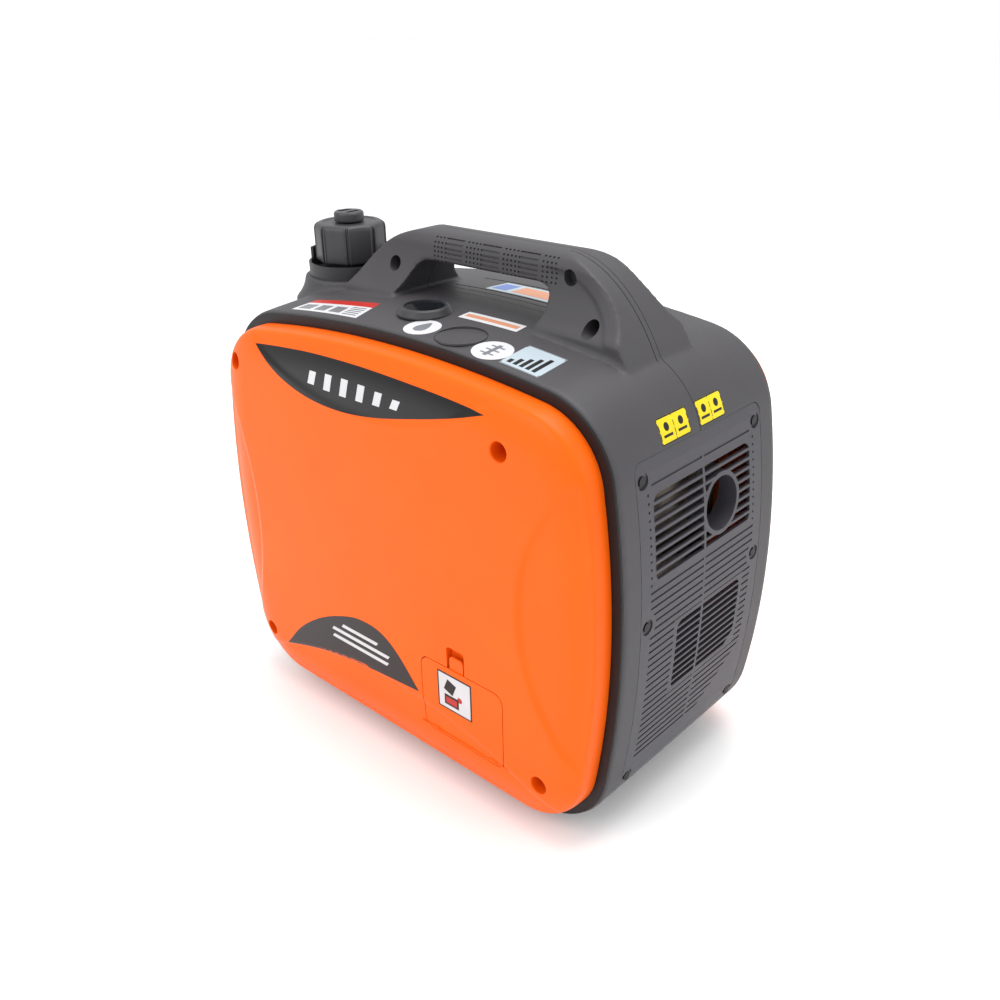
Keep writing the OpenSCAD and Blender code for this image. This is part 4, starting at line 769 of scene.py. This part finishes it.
class GENERATOR_OT_covers(bpy.types.Operator):
    """Build the two side covers, and the oil door in the front one"""
    bl_idname = "generator.covers"
    bl_label = "Side covers"

    def execute(self, context):
        sizes = context.scene.generator_sizes
        front = cover_solid(-1, sizes)
        door = copy_of(front)
        (x0, z0), (x1, z1) = DOOR
        gap = 0.9
        carve(door, [prism(rounded((x0, z0), (x1, z1), 10), -FACE_Y - 1, -FACE_Y + 9)], "INTERSECT")
        opening = rounded((x0 - gap, z0 - gap), (x1 + gap, z1 + gap), 10.5)
        carve(front, [prism(opening, -FACE_Y - 1, -FACE_Y + 14)])
        # finger notch with its pocket
        (n0, m0), (n1, m1) = NOTCH
        edge = 1.8
        pocket = rough_object(prism(rounded((n0 - edge, m0 + 6), (n1 + edge, m1 + edge), 5),
                                    -FACE_Y + 2.2, -FACE_Y + 9.5))
        carve(pocket, [prism(rounded((n0, m0 - 4), (n1, m1), 4), -FACE_Y - 1, -FACE_Y + 7.6)])
        carve(front, [prism(rounded((n0, m0), (n1, m1), 4), -FACE_Y - 1, -FACE_Y + 6)])
        carve(front, [mesh_of(pocket)], "UNION")
        finish_piece(front, "cover_front", "housing", "cover_plastic", ("side_cover_front",))
        # the door's tongue in the notch, its knuckles and its hinge rod
        pin_y, pin_z = -FACE_Y + 2.6, z0 + 2.4
        carve(door, [
            prism(rounded((n0 + 2.5, z1 - 4), (n1 - 2.5, z1 + 14), 4), -FACE_Y + 1.6, -FACE_Y + 3.4),
            *(rod(pin_y + 0.5, pin_z + 0.6, 1.9, x, x + 8, "x", segments=32) for x in (x0 + 10, x1 - 18)),
            rod(pin_y, pin_z, 1.0, x0 - 5, x1 + 5, "x", segments=24),
        ], "UNION")
        finish_piece(door, "oil_door_panel", "oil_door", "cover_plastic", ("oil_door",))
        rear = cover_solid(1, sizes)
        bezel = rounded((GRIP_X - 57.1, GRIP_Z - 23.1), (GRIP_X + 57.1, GRIP_Z + 23.1), 8)
        carve(rear, [prism(bezel, FACE_Y - 12, FACE_Y + 1)])
        finish_piece(rear, "cover_rear", "housing", "cover_plastic", ("side_cover_rear",))
        return {"FINISHED"}


# ---------- filler cap and vent knob
def rib_depth(angle):
    """How far the cap's skirt lies inside its ribs: eight broad scallops, each between a pair of ribs."""
    sector = 2 * math.pi / 8
    t = (angle % sector) / sector
    off = min(t, 1 - t)
    if off < 0.028:
        return 1.7
    if off < 0.105:
        return 0.0
    return 0.9 + 1.3 * math.sin((off - 0.105) / 0.395 * math.pi / 2)


class GENERATOR_OT_cap(bpy.types.Operator):
    """Build the ribbed filler cap and its vent knob"""
    bl_idname = "generator.cap"
    bl_label = "Filler cap"

    def execute(self, context):
        # radius, height, and how much of the ribs shows there
        profile = [
            (CAP_R - 1.4, CAP_Z, 1), (CAP_R - 0.3, CAP_Z + 0.5, 1), (CAP_R, CAP_Z + 1.6, 1),
            (CAP_R, CAP_TOP - 6, 1), (CAP_R - 0.3, CAP_TOP - 4, 1), (CAP_R - 1.2, CAP_TOP - 2.2, 0.8),
            (CAP_R - 2.6, CAP_TOP - 1.0, 0.5), (CAP_R - 4.4, CAP_TOP - 0.3, 0.2), (27, CAP_TOP, 0),
            (25.6, CAP_TOP - 0.9, 0), (17, CAP_TOP - 0.9, 0),
        ]
        angles = [2 * math.pi * i / 320 for i in range(320)]
        rings = []
        for radius, z, share in profile:
            reach = [(radius - share * rib_depth(a), a) for a in angles]
            rings.append([(CAP_X + r * math.cos(a), r * math.sin(a), z) for r, a in reach])
        cap = rough_object(loft(rings))
        carve(cap, [
            rod(CAP_X, 0, 24.5, CAP_Z - 1, CAP_TOP - 4),
            rod(CAP_X, 0, 33, CAP_Z - 1, CAP_Z + 8, segments=96),
            rod(CAP_X, 0, 5.05, CAP_Z, CAP_TOP + 1),
        ])
        finish_piece(cap, "filler_cap", "fuel_cap", "cap_plastic", ("fuel_cap",))
        top = mm("vent_knob", 1, 2)
        turned = [(14.2, CAP_TOP + 0.3), (15, CAP_TOP + 1.1), (15, top - 2.2), (14.2, top - 0.6), (12.6, top)]
        knob = fuse([
            lathe(turned, (CAP_X, 0)),
            prism(rounded((CAP_X - 17, -2.6), (CAP_X - 11, 2.6), 1.6), CAP_TOP + 3, top - 0.6, "z"),
            prism(rounded((CAP_X - 4, -14.6), (CAP_X + 4, 14.6), 3), top - 3, top - 0.2, "z"),
            rod(CAP_X, 0, 4.9, CAP_TOP - 3, CAP_TOP + 1),
        ], 0.5, 2)
        carve(knob, [prism(rounded((x, -8), (x + 5.6, 8), 2.4), top - 1.4, top + 2, "z")
                     for x in (CAP_X - 9, CAP_X + 3.4)])
        finish_piece(knob, "cap_vent_knob", "vent_knob", "cap_plastic", ("vent_knob",))
        return {"FINISHED"}


# ---------- starter rope
class GENERATOR_OT_rope(bpy.types.Operator):
    """Build the starter rope, which draws out between the housing and the grip"""
    bl_idname = "generator.rope"
    bl_label = "Starter rope"

    def execute(self, context):
        low, high = mm("starter_rope", 0, 1), mm("starter_rope", 1, 1)
        radius = (mm("starter_rope", 1, 0) - mm("starter_rope", 0, 0)) / 2
        count = 48
        rope = rough_object(lathe([(radius, low + (high - low) * i / count) for i in range(count + 1)],
                                  (GRIP_X, GRIP_Z), "y", 24))
        finish_piece(rope, "pull_rope", None, "rubber", ("starter_rope",), sharp=50)
        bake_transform(rope)
        return {"FINISHED"}


# ---------- labels and decals
def resample(points, count):
    """Points spread evenly along a line of points."""
    points = [Vector(p) for p in points]
    steps = [0.0]
    for a, b in zip(points, points[1:]):
        steps.append(steps[-1] + (b - a).length)
    out = []
    for i in range(count):
        s = steps[-1] * i / (count - 1)
        k = max(j for j in range(len(steps) - 1) if steps[j] <= s + 1e-9)
        t = (s - steps[k]) / (steps[k + 1] - steps[k])
        out.append(points[k].lerp(points[k + 1], t))
    return out


def flowing(points):
    """A smooth line through points."""
    steps = 8
    p = [Vector(q) for q in points]
    p = [2 * p[0] - p[1]] + p + [2 * p[-1] - p[-2]]
    out = [p[1]]
    for a, b, c, d in zip(p, p[1:], p[2:], p[3:]):
        for i in range(1, steps + 1):
            t = i / steps
            out.append(0.5 * (2 * b + (c - a) * t + (2 * a - 5 * b + 4 * c - d) * t ** 2
                              + (3 * b - a - 3 * c + d) * t ** 3))
    return out


def sheet_between(lower, upper, nu, nv):
    """A flat grid stretched between two lines."""
    bm = bmesh.new()
    bmesh.ops.create_grid(bm, x_segments=nu, y_segments=nv, size=1)
    lo, hi = resample(lower, nu + 1), resample(upper, nu + 1)
    for v in bm.verts:
        i, t = round((v.co.x + 1) / 2 * nu), (v.co.y + 1) / 2
        p = lo[i].lerp(hi[i], t)
        v.co = (p.x, p.y, 0)
    return bm


def disc(u, v, radius, rings=8):
    """A flat disc of rings, fine enough to follow a curved surface."""
    count = 64
    bm = bmesh.new()
    bmesh.ops.create_circle(bm, segments=count, radius=radius, cap_ends=True,
                            matrix=Matrix.Translation((u, v, 0)))
    for _ in range(rings):
        inner = [f for f in bm.faces if len(f.verts) == count]
        bmesh.ops.inset_region(bm, faces=inner, thickness=radius / (rings + 1), use_boundary=True,
                               use_even_offset=True)
    return bm


# Thickness of a label's film, its lift off the surface, and the lift of each print on top of that
FILM, GLUE, INK = 0.12, 0.10, 0.08


def lay(name, layers, tree, axis="-z", body="housing", slot="rocker_plastic"):
    """Lays flat layers of (mesh, finish, height) on a surface by casting each point onto it, as one piece.
    axis is the way the points are cast: -z from above, +y from the front, -x from the end."""
    way = Vector({"-z": (0, 0, -1), "+y": (0, 1, 0), "-x": (-1, 0, 0)}[axis])
    parts, names = [], []
    for bm, key, height in layers:
        if key not in names:
            names.append(key)
        missed = []
        for v in bm.verts:
            u, w = v.co.x, v.co.y
            start = {"-z": Vector((u, w, 600)), "+y": Vector((u, -400, w)), "-x": Vector((500, u, w))}[axis]
            hit = tree.ray_cast(start, way)[0]
            if hit is None:
                missed.append(v)
            else:
                v.co = hit - way * height
        bmesh.ops.delete(bm, geom=missed, context="VERTS")
        bmesh.ops.recalc_face_normals(bm, faces=bm.faces)
        if bm.faces and sum((f.normal.dot(way) for f in bm.faces)) > 0:
            bmesh.ops.reverse_faces(bm, faces=bm.faces)
        bmesh.ops.solidify(bm, geom=list(bm.faces), thickness=FILM)
        for f in bm.faces:
            f.material_index = names.index(key)
        parts.append(bm)
    finish_piece(rough_object(merged(parts)), name, body, slot, finishes=names, sharp=60)


def oblong(u0, u1, v0, v1, lean=0.0):
    """The corners of a rectangle, its far side shifted by lean."""
    return [(u0, v0), (u1, v0), (u1 + lean, v1), (u0 + lean, v1)]


def quad(corners, nu=10, nv=8):
    """A sheet over a four-cornered patch: near left, near right, far right, far left."""
    return sheet_between([corners[0], corners[1]], [corners[3], corners[2]], nu, nv)


def inside(corners, u0, u1, v0, v1):
    """A patch's part between shares of its length and height."""
    a, b, c, d = (Vector(p) for p in corners)
    return [a.lerp(b, u).lerp(d.lerp(c, u), v) for u, v in oblong(u0, u1, v0, v1)]


def drawn(lower, upper, nu, nv):
    """A sheet between two smooth lines whose heights are given above the underside."""
    return sheet_between(*(flowing([(x, z + BASE_Z) for x, z in line]) for line in (lower, upper)), nu, nv)


class GENERATOR_OT_labels(bpy.types.Operator):
    """Lay the plain labels and decals on the shell and the front cover"""
    bl_idname = "generator.labels"
    bl_label = "Labels and decals"

    def execute(self, context):
        objects = bpy.data.objects
        top = surface_of(objects["shell_front"], objects["shell_rear"])
        face = surface_of(objects["cover_front"])
        print_on = GLUE + INK
        # wide label at the left: white, a red head and grey bars
        wide = [(-152, -106), (-58, -106), (-70, -66), (-150, -76)]
        layers = [(quad(wide, 14, 6), "label_white", GLUE),
                  (quad(inside(wide, 0.0, 1.0, 0.68, 1.0), 12, 3), "label_red", print_on)]
        for u0, u1 in ((0.05, 0.24), (0.3, 0.47), (0.53, 0.7)):
            layers.append((quad(inside(wide, u0, u1, 0.12, 0.52), 3, 3), "label_grey", print_on))
        for i in range(5):
            bar = inside(wide, 0.75, 0.95, 0.1 + 0.11 * i, 0.15 + 0.11 * i)
            layers.append((quad(bar, 3, 1), "label_grey", print_on))
        lay("label_wide", layers, top)
        # round label with a plain drop
        u, v = 15, -94
        left, right = (
            bezier((u + s, v + 11), (u + 9 * s, v), (u + 8 * s, v - 9), (u, v - 9), 8) for s in (-1, 1)
        )
        lay("label_round_left", [(disc(u, v, 16.5), "label_white", GLUE),
                                 (sheet_between(left, right, 8, 6), "label_grey", print_on)], top)
        # round label with a plain stem and three crossbars
        u, v = 97, -95
        marks = [quad(oblong(u - 2, u + 2, v - 11, v + 11), 3, 6)]
        marks += [quad(oblong(u - 7, u + 7, v + s - 1, v + s + 1), 5, 1) for s in (-7, 0, 7)]
        lay("label_round_right", [(disc(u, v, 17.5), "label_white", GLUE)]
            + [(mark, "label_grey", print_on) for mark in marks], top)
        # square pale label with a border and bars of rising height
        square = [(115, -108), (155, -108), (153, -68), (113, -68)]
        layers = [(quad(square), "label_pale", GLUE)]
        for part in ((0, 1, 0, 0.03), (0, 1, 0.97, 1), (0, 0.03, 0, 1), (0.97, 1, 0, 1)):
            layers.append((quad(inside(square, *part), 8, 1), "label_grey", GLUE + 0.06))
        for i in range(5):
            bar = inside(square, 0.1 + 0.16 * i, 0.2 + 0.16 * i, 0.12, 0.28 + 0.12 * i)
            layers.append((quad(bar, 2, 4), "label_black", print_on))
        lay("label_square", layers, top)
        strip = [(22, -58), (86, -54), (84, -38), (21, -42)]
        lay("label_strip", [(quad(strip, 12, 2), "label_white", GLUE),
                            (quad(inside(strip, 0.05, 0.95, 0.3, 0.7), 12, 1), "label_peach", print_on)], top)
        behind = oblong(-24, 84, 26, 58)
        lay("label_behind", [
            (quad(behind, 14, 4), "label_pale", GLUE),
            (quad(inside(behind, 0.03, 0.2, 0.15, 0.85), 3, 3), "label_blue", print_on),
            (quad(inside(behind, 0.26, 0.97, 0.15, 0.85), 10, 3), "label_peach", print_on),
        ], top)
        # two yellow labels on the end, each with two plain marks
        level = BASE_Z + 369
        for name, y0, y1 in (("label_yellow_left", -52, -13), ("label_yellow_right", 1.5, 38)):
            patch = oblong(y0, y1, level - 10, level + 10)
            layers = [(quad(patch), "label_yellow", GLUE)]
            lines = [(0, 1, 0, 0.045), (0, 1, 0.955, 1), (0, 0.02, 0, 1), (0.98, 1, 0, 1), (0.49, 0.51, 0, 1)]
            for part in lines:
                layers.append((quad(inside(patch, *part), 6, 3), "label_black", print_on))
            for share in (0.25, 0.75):
                mid = y0 + (y1 - y0) * share
                bar = oblong(mid - 6, mid + 6, level - 5, level - 3)
                layers.append((disc(mid, level + 2.5, 3.2, 2), "label_black", print_on))
                layers.append((quad(bar, 6, 1), "label_black", print_on))
            lay(name, layers, top, "-x", slot="knob_plastic")
        # decals on the front cover, lifted more because its relief is curved
        low = 0.18
        eye = drawn(
            [(-166, 385), (-131, 362), (-92, 350), (-48, 347), (-1, 351.5), (55, 364), (96, 375), (131, 386)],
            [(-166, 385), (-120, 389.5), (-75, 392.5), (-16, 393.5), (41, 392), (90, 389.5), (131, 386)],
            110, 14)
        layers = [(eye, "decal_black", low)]
        for i, tall in enumerate((13, 16, 17, 16, 13, 9)):
            x, z = -88 + 22 * i, BASE_Z + 370
            bar = oblong(x, x + 9, z - tall / 2, z + tall / 2, lean=5)
            layers.append((quad(bar, 4, 6), "label_white", low + 0.1))
        lay("decal_top", layers, face, "+y", slot="trim_plastic")
        fin = drawn(
            [(-171, 48), (-109, 66), (-58, 74.5), (-16, 79.5), (38, 84)],
            [(-171, 48), (-141, 81), (-103, 108), (-62, 126), (-36, 131), (-11, 128), (12, 113), (38, 84)],
            90, 16)
        layers = [(fin, "decal_grey", low)]
        for i, (x0, x1) in enumerate(((-88, -6), (-88, -4), (-72, -20))):
            z = BASE_Z + 93 + 8.5 * i
            layers.append((quad(oblong(x0, x1, z, z + 4, lean=3), 20, 2), "label_white", low + 0.1))
        lay("decal_low", layers, face, "+y", slot="trim_plastic")
        # label on the oil door: a plain can over a plain tray
        z = BASE_Z
        card = oblong(65, 108, z + 83, z + 123)
        can = [(73, z + 105), (84, z + 101), (89, z + 113), (78, z + 117)]
        lay("label_door", [
            (quad(card), "label_black", low),
            (quad(inside(card, 0.04, 0.96, 0.04, 0.96)), "label_white", low + INK),
            (quad(inside(card, 0.2, 0.62, 0.14, 0.42), 5, 4), "label_black", low + 2 * INK),
            (quad(inside(card, 0.25, 0.57, 0.19, 0.36), 5, 4), "label_red", low + 3 * INK),
            (quad(can, 4, 4), "label_black", low + 2 * INK),
            (disc(93, z + 100, 3.0, 2), "label_red", low + 2 * INK),
        ], surface_of(objects["oil_door_panel"]), "+y", "oil_door")
        return {"FINISHED"}


# ---------- carried-over pieces
class GENERATOR_OT_fittings(bpy.types.Operator):
    """Give every piece that stays as designed the finish of its material"""
    bl_idname = "generator.fittings"
    bl_label = "Fittings and engine"

    def execute(self, context):
        slots = {part["node"]: part["material_slot"] for part in frame["record"]["subparts"]}
        for name, obj in frame["nodes"].items():
            material = FINISHES[slots[name]]
            if not obj.material_slots:
                obj.data.materials.append(material)
            for place in obj.material_slots:
                place.material = material
        return {"FINISHED"}


class GENERATOR_OT_finishes(bpy.types.Operator):
    """Make the finishes from the chosen colours"""
    bl_idname = "generator.finishes"
    bl_label = "Finishes"

    def execute(self, context):
        make_finishes(context.scene.generator_colours)
        return {"FINISHED"}


# ---------- stage
class GENERATOR_OT_stage(bpy.types.Operator):
    """Set up the floor, the soft lights and the camera"""
    bl_idname = "generator.stage"
    bl_label = "Stage"

    def execute(self, context):
        stage = context.scene.generator_stage
        bm = bmesh.new()
        bmesh.ops.create_grid(bm, x_segments=1, y_segments=1, size=stage.floor / 2)
        floor = rough_object(bm)
        floor.name = "floor"
        floor.data.materials.append(finish("matt studio floor", "#FFFFFF", 0.9, 4.0, 0.01, 0.0))
        camera = bpy.data.objects.new("camera", bpy.data.cameras.new("camera"))
        context.scene.collection.objects.link(camera)
        forward, up = Vector((-0.61210, 0.65944, -0.43642)), Vector((-0.28225, 0.33334, 0.89957))
        right = forward.cross(up).normalized()
        turn = Matrix((right, right.cross(forward), -forward)).transposed()
        camera.matrix_world = Matrix.Translation((0.63493, -0.66934, 0.67644)) @ turn.to_4x4()
        camera.data.lens = 36.69
        camera.data.clip_start = 0.01
        context.scene.camera = camera
        target = Vector((0, 0, 0.22))
        lights = [
            ("key", (-0.6, -2.4, 1.9), 1.6, stage.key_power),
            ("end", (2.6, 0.9, 1.4), 1.2, stage.key_power * 0.3),
            ("top", (0.2, 0.4, 2.8), 1.8, stage.key_power * 2.1),
        ]
        for name, place, size, power in lights:
            light = bpy.data.objects.new(name, bpy.data.lights.new(name, "AREA"))
            light.data.size = size
            light.data.energy = power
            light.location = place
            light.rotation_euler = (target - Vector(place)).to_track_quat("-Z", "Y").to_euler()
            context.scene.collection.objects.link(light)
        world = bpy.data.worlds.new("studio")
        world.use_nodes = True
        world.node_tree.nodes["Background"].inputs["Color"].default_value = linear("#FFFFFF")
        world.node_tree.nodes["Background"].inputs["Strength"].default_value = 1.0
        context.scene.world = world
        context.scene.view_settings.view_transform = "Standard"
        return {"FINISHED"}


class GENERATOR_PT_panel(bpy.types.Panel):
    """Lists the build steps of the generator"""
    bl_idname = "GENERATOR_PT_panel"
    bl_label = "Generator"
    bl_space_type = "VIEW_3D"
    bl_region_type = "UI"
    bl_category = "Generator"

    def draw(self, context):
        for group in GROUPS:
            box = self.layout.box()
            settings = getattr(context.scene, group)
            for key in settings.__annotations__:
                box.prop(settings, key)
        for operator in STEPS:
            self.layout.operator(operator.bl_idname)


GROUPS = {
    "generator_sizes": GeneratorSizes,
    "generator_colours": GeneratorColours,
    "generator_stage": GeneratorStage,
}
STEPS = [
    GENERATOR_OT_finishes, GENERATOR_OT_fittings, GENERATOR_OT_shells, GENERATOR_OT_covers,
    GENERATOR_OT_cap, GENERATOR_OT_rope, GENERATOR_OT_labels, GENERATOR_OT_stage,
]


def register():
    for cls in [*GROUPS.values(), *STEPS, GENERATOR_PT_panel]:
        bpy.utils.register_class(cls)
    for name, group in GROUPS.items():
        setattr(bpy.types.Scene, name, PointerProperty(type=group))


def unregister():
    for name in GROUPS:
        delattr(bpy.types.Scene, name)
    for cls in reversed([*GROUPS.values(), *STEPS, GENERATOR_PT_panel]):
        bpy.utils.unregister_class(cls)


def main():
    register()
    bpy.ops.generator.finishes()
    bpy.ops.generator.fittings()
    bpy.ops.generator.shells()
    bpy.ops.generator.covers()
    bpy.ops.generator.cap()
    bpy.ops.generator.rope()
    bpy.ops.generator.labels()
    bpy.ops.generator.stage()


if __name__ == "__main__":
    main()
